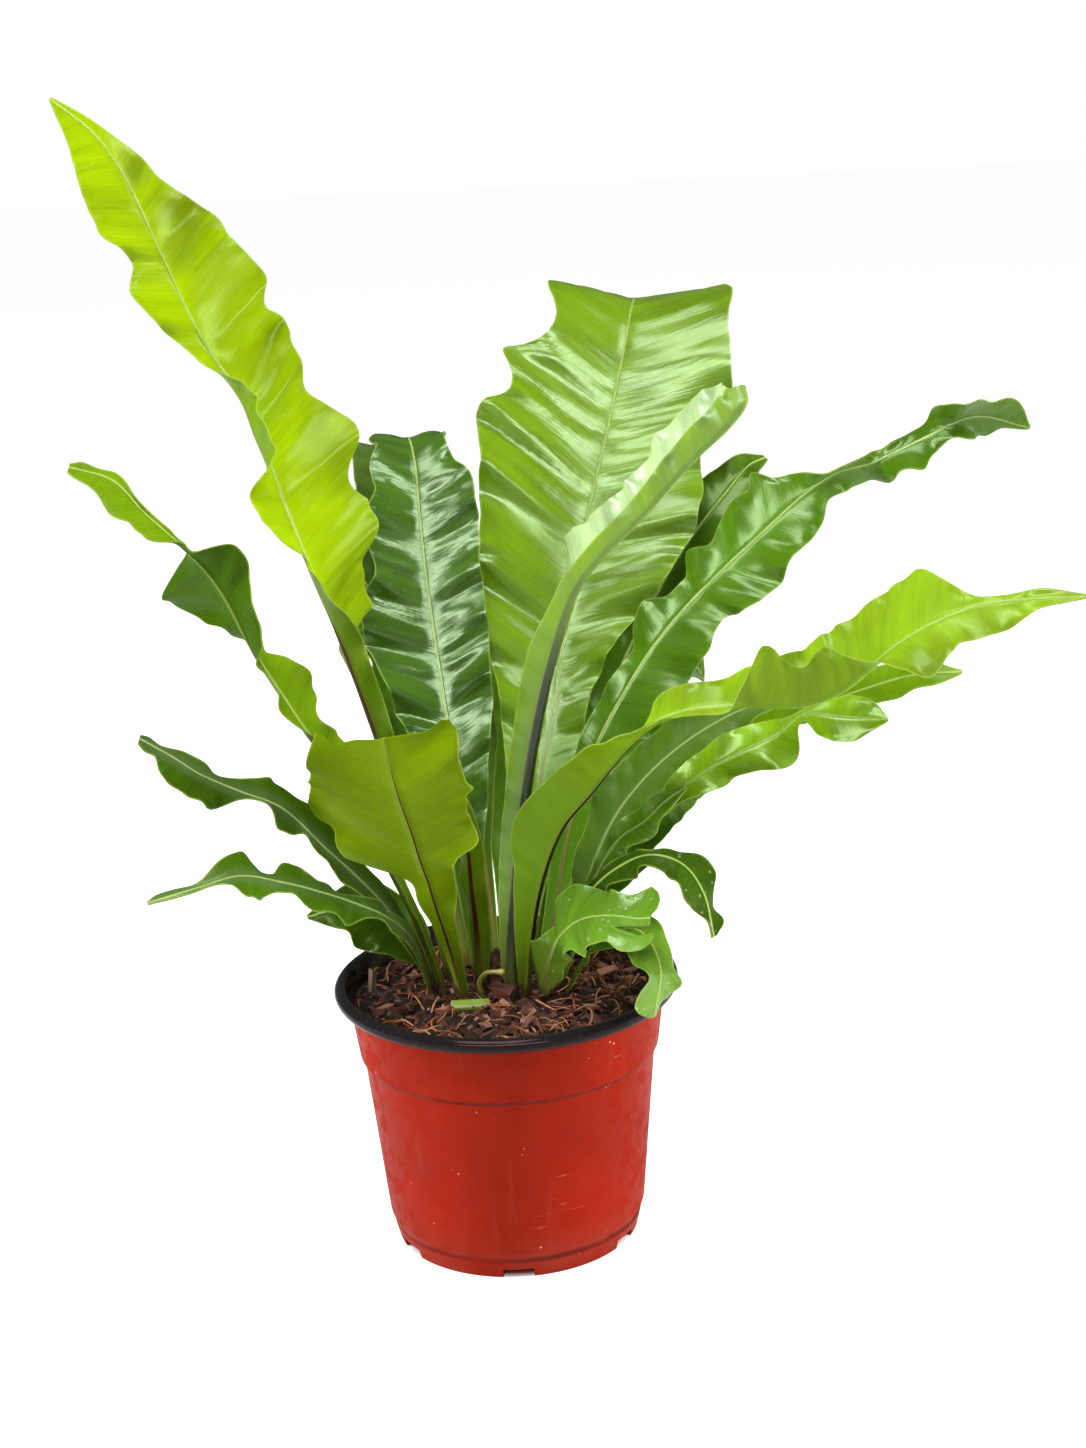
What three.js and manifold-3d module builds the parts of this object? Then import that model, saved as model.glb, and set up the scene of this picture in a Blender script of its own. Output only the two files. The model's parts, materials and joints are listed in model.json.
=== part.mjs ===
// Harts tongue fern in its nursery pot: a rosette of strap fronds standing in
// potting mix round a scaly crown. Millimetres, +Z up, origin at the centre of
// the pot's flat underside. The plant faces -Y.
import * as THREE from "three";
import { mergeVertices } from "three/addons/utils/BufferGeometryUtils.js";
import Module from "manifold-3d";

const wasm = await Module();
wasm.setup();

// ---- Driving dimensions ----------------------------------------------------
const GAP = 0.3; // clearance between pieces that touch

const POT = {
  sides: 40,
  foot: 57, // radius of the flat underside
  footTop: 9, // height of the groove above the foot
  groove: 1.2,
  bodyLow: [60.5, 13], // radius, height
  bodyHigh: [68, 90],
  step: [70, 93], // ledge where the upper band starts
  bandHigh: [73.5, 119],
  rim: 80, // outer radius of the rolled rim
  rimLow: 120,
  top: 126,
  wall: 1.8,
  floor: 2.5,
};
const NOTCH = { count: 6, width: 14, inner: 51, height: 4.2 };

const SOIL = { edge: 116.5, mound: 3, spread: 38, relief: 0.9, rings: 5 };
const CROWN = { centre: [-4, 1, 117], radii: [6.2, 5.8, 17], scale: 0.6, ripples: 7 };

const BLADE = 0.8; // thickness of a frond's blade
const RIB = { baseHalf: 1.2, tipHalf: 0.5, baseDepth: 2.2, tipDepth: 0.6 };
const HOLE = { radius: 3.4, length: 26, sides: 7 };
const STALK = { half: 2.3, buried: 19, spread: 0.4 }; // half width, depth in the mix, widening above it
const STATION = 11; // mean spacing of cross sections along a frond
const RUFFLE = [[0, 0], [0.3, 0.2], [0.5, 1], [0.9, 1], [1, 0.3]];

// Each frond: lean is the compass angle that it leans to (0 is -Y, 90 is +X).
// rib lists points on the midrib from the base up. left and right are the half
// widths, with the tip up and the upper face in view. roll turns the blade about
// the rib, fold lifts each half out of the plane, in degrees. wave is the
// height, length and start of the ruffles on the margin. Keys are [0..1 along
// the frond, value].
const FRONDS = {
  frond_tall_left: {
    lean: 270, color: 0x9cc41c,
    rib: [[-22, 5, 104], [-33, 9, 156], [-43, 10, 200], [-54, 9, 245], [-67, 10, 289], [-82, 15, 329],
      [-103, 26, 392], [-120, 29, 422], [-136, 30, 462], [-150, 29, 498], [-160, 27, 513], [-176, 22, 528]],
    left: [[0, 2.2], [0.22, 7], [0.45, 11], [0.58, 13], [0.66, 12], [0.72, 7], [0.765, 16], [0.79, 20], [0.83, 13],
      [0.87, 21], [0.92, 17], [0.96, 10], [1, 1]],
    right: [[0, 2.2], [0.22, 9], [0.36, 19], [0.46, 30], [0.55, 40], [0.65, 34], [0.72, 36], [0.8, 35], [0.87, 20], [0.92, 9], [1, 1]],
    roll: [[0, 40], [0.38, 40], [0.46, -30], [0.55, -60], [1, -65]],
    foldLeft: [[0, 50], [0.4, 50], [0.47, 80], [0.54, 40], [0.6, 60], [0.66, 80], [0.72, 30], [0.8, 8], [1, 8]],
    foldRight: [[0, 50], [0.38, 40], [0.5, 10], [1, 6]],
    wave: [5, 40, 0.1], waveLeft: [3, 40, 0.4],
  },
  frond_thin_left: {
    lean: 270, color: 0x6fa022,
    rib: [[-25, -4, 104], [-38, -6, 152], [-50, -10, 184], [-65, -14, 223], [-84, -18, 255], [-102, -18, 288],
      [-120, -14, 324], [-146, -14, 353], [-158, -16, 368], [-176, -18, 375]],
    left: [[0, 2.2], [0.25, 6], [0.45, 9], [0.6, 8], [0.68, 14], [0.76, 19], [0.84, 13], [0.93, 7], [1, 1]],
    right: [[0, 2.2], [0.25, 6], [0.45, 9], [0.6, 8], [0.68, 16], [0.76, 20], [0.84, 9], [0.93, 7], [1, 1]],
    roll: [[0, -10], [0.3, -10], [0.55, -30], [0.6, -30], [0.69, 70], [0.77, 70], [0.83, -30], [1, -40]],
    foldLeft: [[0, 40], [0.3, 30], [0.36, 75], [0.41, 0], [0.47, 75], [0.54, 0], [0.6, 40], [0.68, 0], [0.8, 10], [0.86, 40], [0.92, 0], [1, 0]],
    foldRight: 20, wave: [2.5, 26, 0.2],
  },
  frond_left_upper: {
    lean: 280, color: 0x2f6b2c, narrow: true,
    rib: [[-28, 12, 104], [-47, -6, 154], [-62, -12, 177], [-78, -18, 197], [-95, -30, 222], [-114, -38, 230],
      [-131, -49, 238], [-142, -54, 254], [-150, -56, 263]],
    left: [[0, 2.2], [0.3, 7], [0.5, 10], [0.65, 12], [0.78, 10], [0.87, 13], [0.95, 7], [1, 1]],
    right: [[0, 2.2], [0.3, 7], [0.5, 12], [0.62, 13], [0.75, 8], [0.87, 10], [0.95, 7], [1, 1]],
    roll: -35, fold: 5, wave: [3, 40, 0.4],
  },
  frond_left_low: {
    lean: 290, color: 0x2f6b2c, narrow: true,
    rib: [[-31, 5, 104], [-42, -15, 150], [-52, -34, 169], [-66, -46, 181], [-79, -56, 190], [-94, -64, 198],
      [-110, -74, 205], [-126, -80, 203], [-148, -86, 199]],
    left: [[0, 2.2], [0.25, 6], [0.42, 8], [0.55, 13], [0.65, 9], [0.78, 14], [0.86, 6], [0.94, 3], [1, 1]],
    right: [[0, 2.2], [0.25, 6], [0.42, 7], [0.55, 13], [0.65, 9], [0.78, 13], [0.86, 7], [0.94, 3], [1, 1]],
    roll: -30, fold: 5, wave: [3, 40, 0.1],
  },
  frond_left_hidden: {
    lean: 270, color: 0x2f6b2c, narrow: true,
    rib: [[-25, 19, 104], [-42, 12, 136], [-53, 12, 148], [-69, 10, 158], [-80, 8, 158], [-91, 6, 156]],
    left: [[0, 2.2], [0.28, 3], [0.45, 12], [0.7, 17], [0.85, 10], [1, 1]],
    right: [[0, 2.2], [0.28, 3], [0.45, 12], [0.7, 15], [0.85, 8], [1, 1]],
    roll: -60, fold: 5, wave: [3, 34, 0.1],
  },
  frond_front: {
    lean: 330, color: 0x7ea416,
    rib: [[-17, -11, 104], [-24, -22, 149], [-30, -36, 180], [-35, -50, 208], [-40, -58, 232], [-45, -63, 258]],
    left: [[0, 2.2], [0.2, 4], [0.45, 8], [0.55, 13], [0.63, 27], [0.72, 28], [0.82, 33], [0.92, 36], [1, 34]],
    right: [[0, 2.2], [0.2, 7], [0.38, 10], [0.45, 16], [0.5, 28], [0.56, 34], [0.64, 36], [0.68, 42], [0.8, 42], [0.9, 38], [1, 26]],
    roll: 6, fold: 4, wave: [3, 44, 0.3], ruffle: [[0, 0], [0.4, 0.3], [0.6, 1], [1, 1]],
  },
  frond_front_inner: {
    lean: 335, color: 0x7ea416, narrow: true,
    rib: [[-13, -3, 104], [-12, -8, 151], [-13, -14, 173], [-14, -22, 199], [-19, -28, 220], [-28, -30, 238]],
    left: [[0, 2.2], [0.3, 6], [0.6, 7], [0.8, 7], [1, 1]],
    right: [[0, 2.2], [0.3, 5], [0.6, 8], [0.8, 8], [1, 1]],
    roll: 0, fold: 35, wave: [1, 30, 0.3],
  },
  frond_centre_dark: {
    lean: 187, color: 0x2c6e2a,
    rib: [[-12, 9, 104], [-14, 16, 152], [-17, 24, 199], [-21, 32, 233], [-25, 42, 269], [-28, 50, 299],
      [-30, 57, 331], [-31, 65, 354], [-34, 81, 365], [-38, 98, 359], [-41, 110, 342]],
    left: [[0, 2.2], [0.2, 7], [0.35, 12], [0.45, 22], [0.55, 31], [0.6, 34], [0.68, 24], [0.75, 26], [0.82, 20], [0.88, 16], [0.95, 10], [1, 1]],
    right: [[0, 2.2], [0.2, 6], [0.35, 15], [0.45, 22], [0.55, 26], [0.65, 26], [0.75, 28], [0.82, 26], [0.88, 20], [0.95, 12], [1, 1]],
    roll: 0, fold: 10, wave: [4, 27, 0.3], ruffle: [[0, 0], [0.3, 0.2], [0.5, 1], [0.74, 1], [0.84, 0.2], [1, 0.2]],
  },
  frond_centre_behind: {
    lean: 205, color: 0x3a7a30,
    rib: [[-4, 16, 104], [-7, 30, 159], [-13, 46, 202], [-22, 66, 246], [-34, 84, 287], [-44, 98, 324],
      [-50, 116, 348], [-54, 136, 354], [-58, 156, 344], [-61, 168, 324]],
    left: [[0, 2.2], [0.2, 6], [0.35, 16], [0.5, 26], [0.65, 28], [0.75, 18], [0.85, 12], [0.94, 8], [1, 1]],
    right: [[0, 2.2], [0.15, 3], [0.22, 5], [0.3, 12], [0.38, 19], [0.5, 26], [0.75, 26], [0.88, 20], [0.95, 10], [1, 1]],
    roll: 5, fold: 8, wave: [4, 40, 0.1], ruffle: [[0, 0], [0.3, 0.2], [0.5, 1], [0.74, 1], [0.84, 0.2], [1, 0.2]],
  },
  frond_centre_big: {
    lean: 180, color: 0x5e9c2c,
    rib: [[5, 9, 104], [9, 16, 141], [15, 26, 173], [21, 38, 211], [28, 47, 240], [36, 60, 277], [46, 72, 318],
      [60, 88, 365], [70, 101, 402], [75, 118, 419], [78, 138, 419], [81, 158, 402], [82, 174, 374]],
    left: [[0, 2.2], [0.12, 7], [0.2, 12], [0.28, 19], [0.36, 30], [0.44, 43], [0.5, 48], [0.56, 53], [0.61, 60], [0.64, 60],
      [0.67, 51], [0.71, 50], [0.74, 39], [0.79, 36], [0.87, 24], [0.95, 10], [1, 1]],
    right: [[0, 2.2], [0.12, 7], [0.2, 11], [0.3, 17], [0.36, 19], [0.43, 32], [0.5, 48], [0.55, 56], [0.65, 54], [0.75, 46],
      [0.8, 42], [0.88, 28], [0.95, 12], [1, 1]],
    roll: 0, fold: [[0, 14], [0.55, 12], [0.72, 4], [1, 6]], wave: [4, 36, 0.3],
    ruffle: [[0, 0], [0.3, 0.3], [0.5, 1], [0.7, 1], [0.78, 0.3], [1, 0.2]],
  },
  frond_rolled: {
    lean: 42, color: 0x86b02c,
    rib: [[2, -12, 104], [4, -14, 138], [12, -24, 205], [20, -32, 251], [30, -40, 290], [40, -46, 317],
      [51, -52, 332], [67, -58, 348], [92, -66, 375], [105, -70, 388], [111, -72, 397], [110, -70, 404]],
    left: [[0, 2.2], [0.2, 4], [0.45, 6], [0.58, 14], [0.64, 27], [0.75, 33], [0.88, 28], [0.96, 12], [1, 2]],
    right: [[0, 2.2], [0.2, 9], [0.45, 11], [0.56, 13], [0.75, 14], [0.9, 12], [1, 2]],
    roll: [[0, -10], [0.5, -10], [1, 0]],
    foldLeft: [[0, 50], [0.5, 55], [0.62, 68], [1, 66]], foldRight: [[0, 45], [0.5, 45], [0.6, 62], [1, 64]],
    wave: [1, 30, 0.3], waveLeft: [3, 26, 0.3], ruffle: [[0, 0], [0.56, 0.1], [0.66, 1], [0.9, 1], [1, 0.2]],
  },
  frond_black_rib: {
    lean: 60, color: 0x93b82a,
    rib: [[8, -11, 104], [12, -20, 149], [19, -26, 182], [29, -32, 207], [41, -38, 223], [67, -50, 256],
      [83, -56, 267], [103, -61, 272], [131, -70, 275], [150, -74, 283], [168, -78, 297], [184, -82, 305],
      [202, -86, 311], [224, -90, 314], [246, -94, 315]],
    left: [[0, 2.2], [0.12, 6], [0.3, 8], [0.4, 9], [0.46, 5], [0.53, 8], [0.575, 14], [0.605, 28], [0.635, 25], [0.67, 27],
      [0.714, 29], [0.777, 28], [0.815, 31], [0.85, 17], [0.88, 7], [0.94, 6], [1, 1]],
    right: [[0, 2.2], [0.12, 7], [0.22, 14], [0.28, 22], [0.36, 18], [0.44, 18], [0.5, 12], [0.56, 28], [0.62, 26], [0.68, 16],
      [0.74, 24], [0.82, 18], [0.9, 10], [1, 1]],
    roll: [[0, -5], [0.4, -5], [0.48, 40], [0.52, 60], [1, 60]],
    foldRight: [[0, 45], [0.4, 35], [0.46, 25], [0.55, 95], [0.63, 95], [0.7, 15], [1, 8]],
    foldLeft: [[0, 45], [0.4, 35], [0.5, 10], [1, 5]], wave: [3, 45, 0.2],
  },
  frond_right_wide: {
    lean: 90, color: 0x4f9130,
    rib: [[13, 5, 104], [25, 10, 155], [34, 14, 195], [47, 18, 229], [64, 23, 257], [84, 27, 283], [123, 28, 320],
      [158, 28, 348], [177, 28, 353], [201, 28, 363], [223, 27, 372], [247, 24, 366]],
    left: [[0, 2.2], [0.2, 7], [0.4, 10], [0.47, 14], [0.55, 17], [0.6, 19], [0.66, 18], [0.7, 14], [0.74, 4], [0.8, 5], [0.88, 11], [0.94, 8], [1, 1]],
    right: [[0, 2.2], [0.12, 3.5], [0.2, 8], [0.35, 20], [0.42, 29], [0.5, 21], [0.56, 20], [0.62, 23], [0.68, 17], [0.74, 8], [0.8, 8],
      [0.88, 11], [0.94, 10], [1, 1]],
    roll: [[0, 60], [0.62, 65], [0.74, 85], [0.84, 50], [1, 60]], fold: 6, wave: [4, 33, 0.3],
  },
  frond_right_behind: {
    lean: 120, color: 0x3f8431,
    rib: [[9, 18, 104], [30, 36, 163], [41, 52, 207], [56, 63, 243], [76, 72, 280], [97, 80, 311], [116, 88, 332],
      [127, 96, 342], [136, 106, 344]],
    left: [[0, 2.2], [0.2, 9], [0.4, 20], [0.6, 24], [0.78, 20], [0.9, 13], [1, 2]],
    right: [[0, 2.2], [0.2, 9], [0.4, 20], [0.6, 24], [0.78, 20], [0.9, 12], [1, 2]],
    roll: [[0, 30], [1, 40]], fold: 8, wave: [3, 32, 0.5],
  },
  frond_right_low: {
    lean: 90, color: 0x3b7f2f,
    rib: [[16, 10, 104], [33, 1, 147], [42, -3, 176], [54, -7, 203], [68, -9, 221], [82, -11, 234], [97, -12, 244],
      [114, -13, 252], [129, -14, 254]],
    left: [[0, 2.2], [0.25, 5], [0.42, 11], [0.55, 14], [0.7, 14], [0.85, 14], [1, 1]],
    right: [[0, 2.2], [0.25, 8], [0.42, 22], [0.55, 28], [0.68, 26], [0.8, 14], [0.92, 8], [1, 1]],
    roll: 55, fold: 5, wave: [4, 40, 0.3],
  },
  frond_right_chain: {
    lean: 85, color: 0x7fb322, narrow: true, station: 8,
    rib: [[19, 3, 104], [42, -13, 170], [68, -28, 208], [91, -35, 229], [110, -38, 240], [126, -40, 248],
      [136, -42, 256], [151, -44, 255], [172, -46, 253]],
    left: [[0, 2.2], [0.3, 4], [0.45, 3], [0.55, 5], [0.63, 9], [0.72, 10], [0.79, 7], [0.84, 2], [0.88, 6], [0.93, 10], [0.97, 8], [1, 1]],
    right: [[0, 2.2], [0.3, 4], [0.45, 3], [0.55, 5], [0.63, 9], [0.72, 11], [0.79, 15], [0.84, 3], [0.88, 10], [0.93, 11], [0.97, 6], [1, 1]],
    roll: 60, fold: 5, wave: [3, 34, 0.2],
  },
  frond_right_inner: {
    lean: 90, color: 0x86b424, narrow: true,
    rib: [[15, 17, 104], [44, 15, 169], [85, 16, 206], [119, 10, 233], [148, 0, 248], [169, -10, 258], [188, -18, 265], [208, -24, 267]],
    left: [[0, 2.2], [0.3, 7], [0.5, 10], [0.7, 12], [0.82, 9], [0.9, 9], [1, 1]],
    right: [[0, 2.2], [0.3, 7], [0.5, 8], [0.65, 4], [0.76, 6], [0.86, 8], [0.93, 8], [1, 1]],
    roll: 50, fold: 5, wave: [3, 36, 0.2],
  },
  frond_right_small: {
    lean: 80, color: 0x5c9c2a, narrow: true,
    rib: [[16, -3, 104], [45, -21, 182], [55, -28, 199], [66, -33, 208], [74, -37, 217], [84, -40, 225]],
    left: [[0, 2.2], [0.4, 4], [0.6, 4], [0.8, 7], [0.9, 6], [1, 1]],
    right: [[0, 2.2], [0.4, 4], [0.6, 5], [0.8, 8], [0.9, 6], [1, 1]],
    roll: 55, fold: 8, wave: [2, 22, 0.2],
  },
  frond_right_droop: {
    lean: 85, color: 0x33752d, narrow: true,
    rib: [[9, -4, 104], [36, -26, 168], [55, -42, 191], [68, -48, 197], [81, -52, 193], [89, -55, 181], [93, -57, 161]],
    left: [[0, 2.2], [0.4, 5], [0.55, 4], [0.65, 7], [0.75, 10], [0.85, 9], [0.93, 6], [1, 1]],
    right: [[0, 2.2], [0.4, 5], [0.55, 6], [0.65, 7], [0.75, 9], [0.85, 9], [0.93, 5], [1, 1]],
    roll: 38, fold: 0, wave: [2, 26, 0.2], ruffle: [[0, 0], [0.5, 0.6], [0.7, 0.4], [1, 0.3]],
  },
  frond_forked: {
    lean: 75, color: 0x62a233, narrow: true,
    rib: [[14, -10, 104], [20, -24, 138], [26, -38, 157], [36, -50, 169], [48, -60, 174], [61, -68, 175], [67, -72, 177]],
    left: [[0, 2.2], [0.2, 4], [0.3, 13], [0.42, 17], [0.55, 16], [0.75, 12], [0.88, 12], [1, 6]],
    right: [[0, 2.2], [0.25, 5], [0.35, 22], [0.5, 18], [0.75, 16], [0.88, 16], [1, 8]],
    roll: 40, fold: -4, wave: [3, 34, 0.2],
  },
  frond_rim_droop: {
    lean: 70, color: 0x4d9330, narrow: true,
    rib: [[20, -9, 104], [42, -25, 148], [59, -38, 159], [66, -48, 155], [69, -56, 146], [67, -62, 135], [65, -63, 127]],
    left: [[0, 2.2], [0.3, 6], [0.5, 10], [0.65, 11], [0.8, 13], [0.92, 9], [1, 2]],
    right: [[0, 2.2], [0.3, 6], [0.5, 9], [0.65, 9], [0.8, 15], [0.92, 12], [1, 2]],
    roll: 14, fold: -4, wave: [2, 26, 0.2],
  },
  frond_rear_left: {
    lean: 208, color: 0x3a7a30, narrow: true, station: 15,
    rib: [[-17, 20, 104], [-26, 48, 160], [-40, 90, 230], [-50, 132, 280], [-56, 170, 300], [-62, 205, 290]],
    left: [[0, 2.2], [0.25, 9], [0.5, 20], [0.75, 22], [0.92, 10], [1, 1]],
    right: [[0, 2.2], [0.25, 9], [0.5, 20], [0.75, 22], [0.92, 10], [1, 1]],
    roll: 0, fold: 10, wave: [4, 34, 0.2],
  },
  frond_rear_middle: {
    lean: 172, color: 0x4f9130, narrow: true, station: 15,
    rib: [[1, 25, 104], [4, 52, 160], [8, 100, 220], [14, 150, 260], [20, 195, 270], [24, 235, 255]],
    left: [[0, 2.2], [0.25, 10], [0.5, 24], [0.75, 24], [0.92, 10], [1, 1]],
    right: [[0, 2.2], [0.25, 10], [0.5, 24], [0.75, 24], [0.92, 10], [1, 1]],
    roll: 0, fold: 10, wave: [4, 36, 0.6],
  },
  frond_rear_right: {
    lean: 142, color: 0x4f9130, narrow: true, station: 15,
    rib: [[11, 25, 104], [28, 48, 155], [50, 88, 203], [74, 124, 228], [94, 154, 230], [108, 178, 215]],
    left: [[0, 2.2], [0.25, 9], [0.5, 19], [0.75, 20], [0.92, 9], [1, 1]],
    right: [[0, 2.2], [0.25, 9], [0.5, 19], [0.75, 20], [0.92, 9], [1, 1]],
    roll: 0, fold: 10, wave: [4, 32, 0.4],
  },
};

// The newest frond, still a bare hooked stalk, and the stump of one cut off.
const YOUNG = { radius: 1.3, path: [[-8, -8, 110], [-10, -11, 118], [-12.2, -14, 127], [-8.5, -17.5, 133.5], [0, -19, 134]] };
const STUMP = { from: [-8, -19, 118.5], to: [-25, -22, 119.5], radii: [3.4, 3] };

const COLOR = { pot: 0xb5432a, mix: 0x3a2418, crown: 0x5b3a2a, young: 0xc4c860, stump: 0xa6c25a };

// ---- Solids ----------------------------------------------------------------
function solid(geometry) {
  const bare = geometry.clone();
  for (const name of Object.keys(bare.attributes)) if (name !== "position") bare.deleteAttribute(name);
  const merged = mergeVertices(bare, 1e-4);
  return new wasm.Manifold(new wasm.Mesh({
    numProp: 3,
    vertProperties: Float32Array.from(merged.attributes.position.array),
    triVerts: Uint32Array.from(merged.index.array),
  }));
}

function geometryOf(body) {
  const mesh = body.getMesh();
  const geometry = new THREE.BufferGeometry();
  geometry.setAttribute("position", new THREE.BufferAttribute(Float32Array.from(mesh.vertProperties), 3));
  geometry.setIndex(Array.from(mesh.triVerts));
  return geometry;
}

const group = new THREE.Group();

function place(name, geometry, color, roughness) {
  geometry.computeVertexNormals();
  const mesh = new THREE.Mesh(geometry, new THREE.MeshStandardMaterial({ color, roughness, metalness: 0 }));
  mesh.name = name;
  group.add(mesh);
}

// ---- Fronds ----------------------------------------------------------------
const radians = THREE.MathUtils.degToRad;
const vector = (p) => new THREE.Vector3(...p);

// Smooth curve through [place, value] keys: cubic pieces whose slopes average
// their neighbours', and are flat at a local peak or dip.
function keyed(keys, s) {
  if (typeof keys === "number") return keys;
  const last = keys.length - 1;
  const at = Math.min(Math.max(s, keys[0][0]), keys[last][0]);
  let i = 0;
  while (i < last - 1 && at >= keys[i + 1][0]) i += 1;
  const rise = (k) => (keys[k + 1][1] - keys[k][1]) / (keys[k + 1][0] - keys[k][0]);
  const slope = (k) => {
    if (k === 0) return rise(0);
    if (k === last) return rise(last - 1);
    return rise(k - 1) * rise(k) <= 0 ? 0 : (rise(k - 1) + rise(k)) / 2;
  };
  const span = keys[i + 1][0] - keys[i][0];
  const t = (at - keys[i][0]) / span;
  const t2 = t * t, t3 = t2 * t;
  return (2 * t3 - 3 * t2 + 1) * keys[i][1] + (t3 - 2 * t2 + t) * span * slope(i)
    + (3 * t2 - 2 * t3) * keys[i + 1][1] + (t3 - t2) * span * slope(i + 1);
}

// Height of the ruffles at arc length l: a skewed sine whose pace drifts.
function ruffle([height, length, start], l) {
  const turn = 2 * Math.PI * (l / length + start);
  const drift = turn + 0.7 * Math.sin(0.37 * turn + 5 * start);
  return height * Math.sin(drift + 0.45 * Math.sin(drift));
}

// Everything that one cross section needs: the rib point, the tangent, the
// upward normal and the side direction after roll, and both halves' shape.
function section(spec, curve, length, s) {
  const point = curve.getPointAt(s);
  const tangent = curve.getPointAt(Math.min(s + 0.004, 1)).sub(curve.getPointAt(Math.max(s - 0.004, 0))).normalize();
  const lean = radians(spec.lean);
  const level = new THREE.Vector3(-Math.cos(lean), -Math.sin(lean), 0);
  const up = level.cross(tangent).normalize().applyAxisAngle(tangent, radians(keyed(spec.roll, s)));
  const across = new THREE.Vector3().crossVectors(tangent, up);
  const swell = keyed(spec.ruffle ?? RUFFLE, s);
  const stalk = STALK.half + STALK.spread * Math.max(0, s * length - STALK.buried);
  const half = (side, width, fold, wave) => ({
    side,
    width: Math.min(keyed(width, s), stalk),
    angle: radians(keyed(fold ?? spec.fold, s)),
    lift: swell * ruffle(wave ?? spec.wave, s * length),
  });
  return {
    s, point, up, across,
    left: half(-1, spec.left, spec.foldLeft, spec.waveLeft),
    right: half(1, spec.right, spec.foldRight, spec.waveRight),
  };
}

// Point of the blade a fraction v out from the rib, offset from its middle plane.
function bladePoint(cut, half, v, offset) {
  const reach = half.width * v, sin = Math.sin(half.angle), cos = Math.cos(half.angle);
  const rise = half.lift * v ** 1.7 + offset;
  return cut.point.clone()
    .addScaledVector(cut.across, half.side * (reach * cos - rise * sin))
    .addScaledVector(cut.up, reach * sin + rise * cos);
}

// Upper face from the left margin to the right, then the lower face back with
// the rib's keel between its two edges.
function ring(cut, narrow) {
  const ribHalf = THREE.MathUtils.lerp(RIB.baseHalf, RIB.tipHalf, Math.min(cut.s * 1.3, 1));
  const keel = THREE.MathUtils.lerp(RIB.baseDepth, RIB.tipDepth, Math.min(cut.s * 1.15, 1));
  const columns = (half) => {
    const clear = Math.min(1.4, 0.5 * BLADE * Math.max(0, Math.tan(Math.min(half.angle, 1.4))));
    const edge = Math.min(0.5, (ribHalf + clear) / half.width);
    return narrow ? [edge, 1] : [edge, (edge + 1) / 2, 1];
  };
  const row = (offset) => [
    ...columns(cut.left).reverse().map((v) => bladePoint(cut, cut.left, v, offset)),
    ...columns(cut.right).map((v) => bladePoint(cut, cut.right, v, offset)),
  ];
  const top = row(BLADE / 2), low = row(-BLADE / 2).reverse();
  low.splice(low.length / 2, 0, cut.point.clone().addScaledVector(cut.up, -keel));
  return [...top, ...low];
}

// Closed skin over the rings. Quads of both faces are split along the same
// diagonal, so that a waved blade's faces never cross.
function skin(rings) {
  const count = rings[0].length, top = (count - 1) / 2, keel = top + top / 2;
  const index = [];
  const quad = (a, b, c, d) => index.push(a, b, c, a, c, d);
  for (let i = 0; i < rings.length - 1; i += 1) {
    for (let k = 0; k < count; k += 1) {
      const a = i * count + k, b = i * count + (k + 1) % count;
      if (k < top) quad(a, b, b + count, a + count);
      else quad(b, b + count, a + count, a);
    }
  }
  for (const [base, flip] of [[0, false], [(rings.length - 1) * count, true]]) {
    const face = (...ids) => index.push(...(flip ? ids : ids.reverse()).map((k) => base + k));
    for (let k = 0; k < top - 1; k += 1) {
      const across = count - 1 - k;
      if (k === top / 2 - 1) {
        face(k, k + 1, keel);
        face(k, keel, across);
        face(k + 1, across - 2, keel);
      } else {
        const shift = k < top / 2 - 1 ? 0 : 1;
        face(k, k + 1, across - 1 - shift);
        face(k, across - 1 - shift, across - shift);
      }
    }
  }
  const geometry = new THREE.BufferGeometry();
  geometry.setAttribute("position", new THREE.Float32BufferAttribute(rings.flat().flatMap((p) => p.toArray()), 3));
  geometry.setIndex(index);
  return geometry;
}

function midrib(spec) {
  const curve = new THREE.CatmullRomCurve3(spec.rib.map(vector), false, "centripetal");
  curve.arcLengthDivisions = 400;
  return { curve, length: curve.getLength() };
}

function frond(spec) {
  const { curve, length } = midrib(spec);
  const count = Math.round(length / (spec.station ?? STATION));
  const rings = [];
  for (let i = 0; i <= count; i += 1) {
    const t = i / count;
    rings.push(ring(section(spec, curve, length, t + 0.12 * Math.sin(Math.PI * t)), spec.narrow));
  }
  return skin(rings);
}

// ---- Potting mix and crown ---------------------------------------------------
// Inside of the pot, from the centre of its floor up to the rim.
const INSIDE = [
  [0, POT.floor], [POT.foot - 5, POT.floor], [POT.bodyLow[0] - POT.wall, POT.bodyLow[1]],
  [POT.bodyHigh[0] - POT.wall, POT.bodyHigh[1] - 1], [POT.step[0] - POT.wall, POT.step[1] + 1],
  [POT.bandHigh[0] - POT.wall, POT.rimLow - 2],
];

function insideRadius(height) {
  const i = INSIDE.findIndex((p) => p[1] > height);
  const [low, high] = [INSIDE[i - 1], INSIDE[i]];
  return THREE.MathUtils.mapLinear(height, low[1], high[1], low[0], high[0]);
}

const SOIL_RADIUS = insideRadius(SOIL.edge) - GAP;

function moundHeight(x, y) {
  const r = Math.hypot(x, y);
  const bumps = Math.sin(x / 5.1 + 1.3) * Math.cos(y / 4.3) + 0.6 * Math.sin((x + y) / 3.1);
  return SOIL.edge + SOIL.mound * Math.exp(-((r / SOIL.spread) ** 2))
    + SOIL.relief * bumps * Math.max(0, Math.min(1, (SOIL_RADIUS - 0.5 - r) / 6));
}

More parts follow.
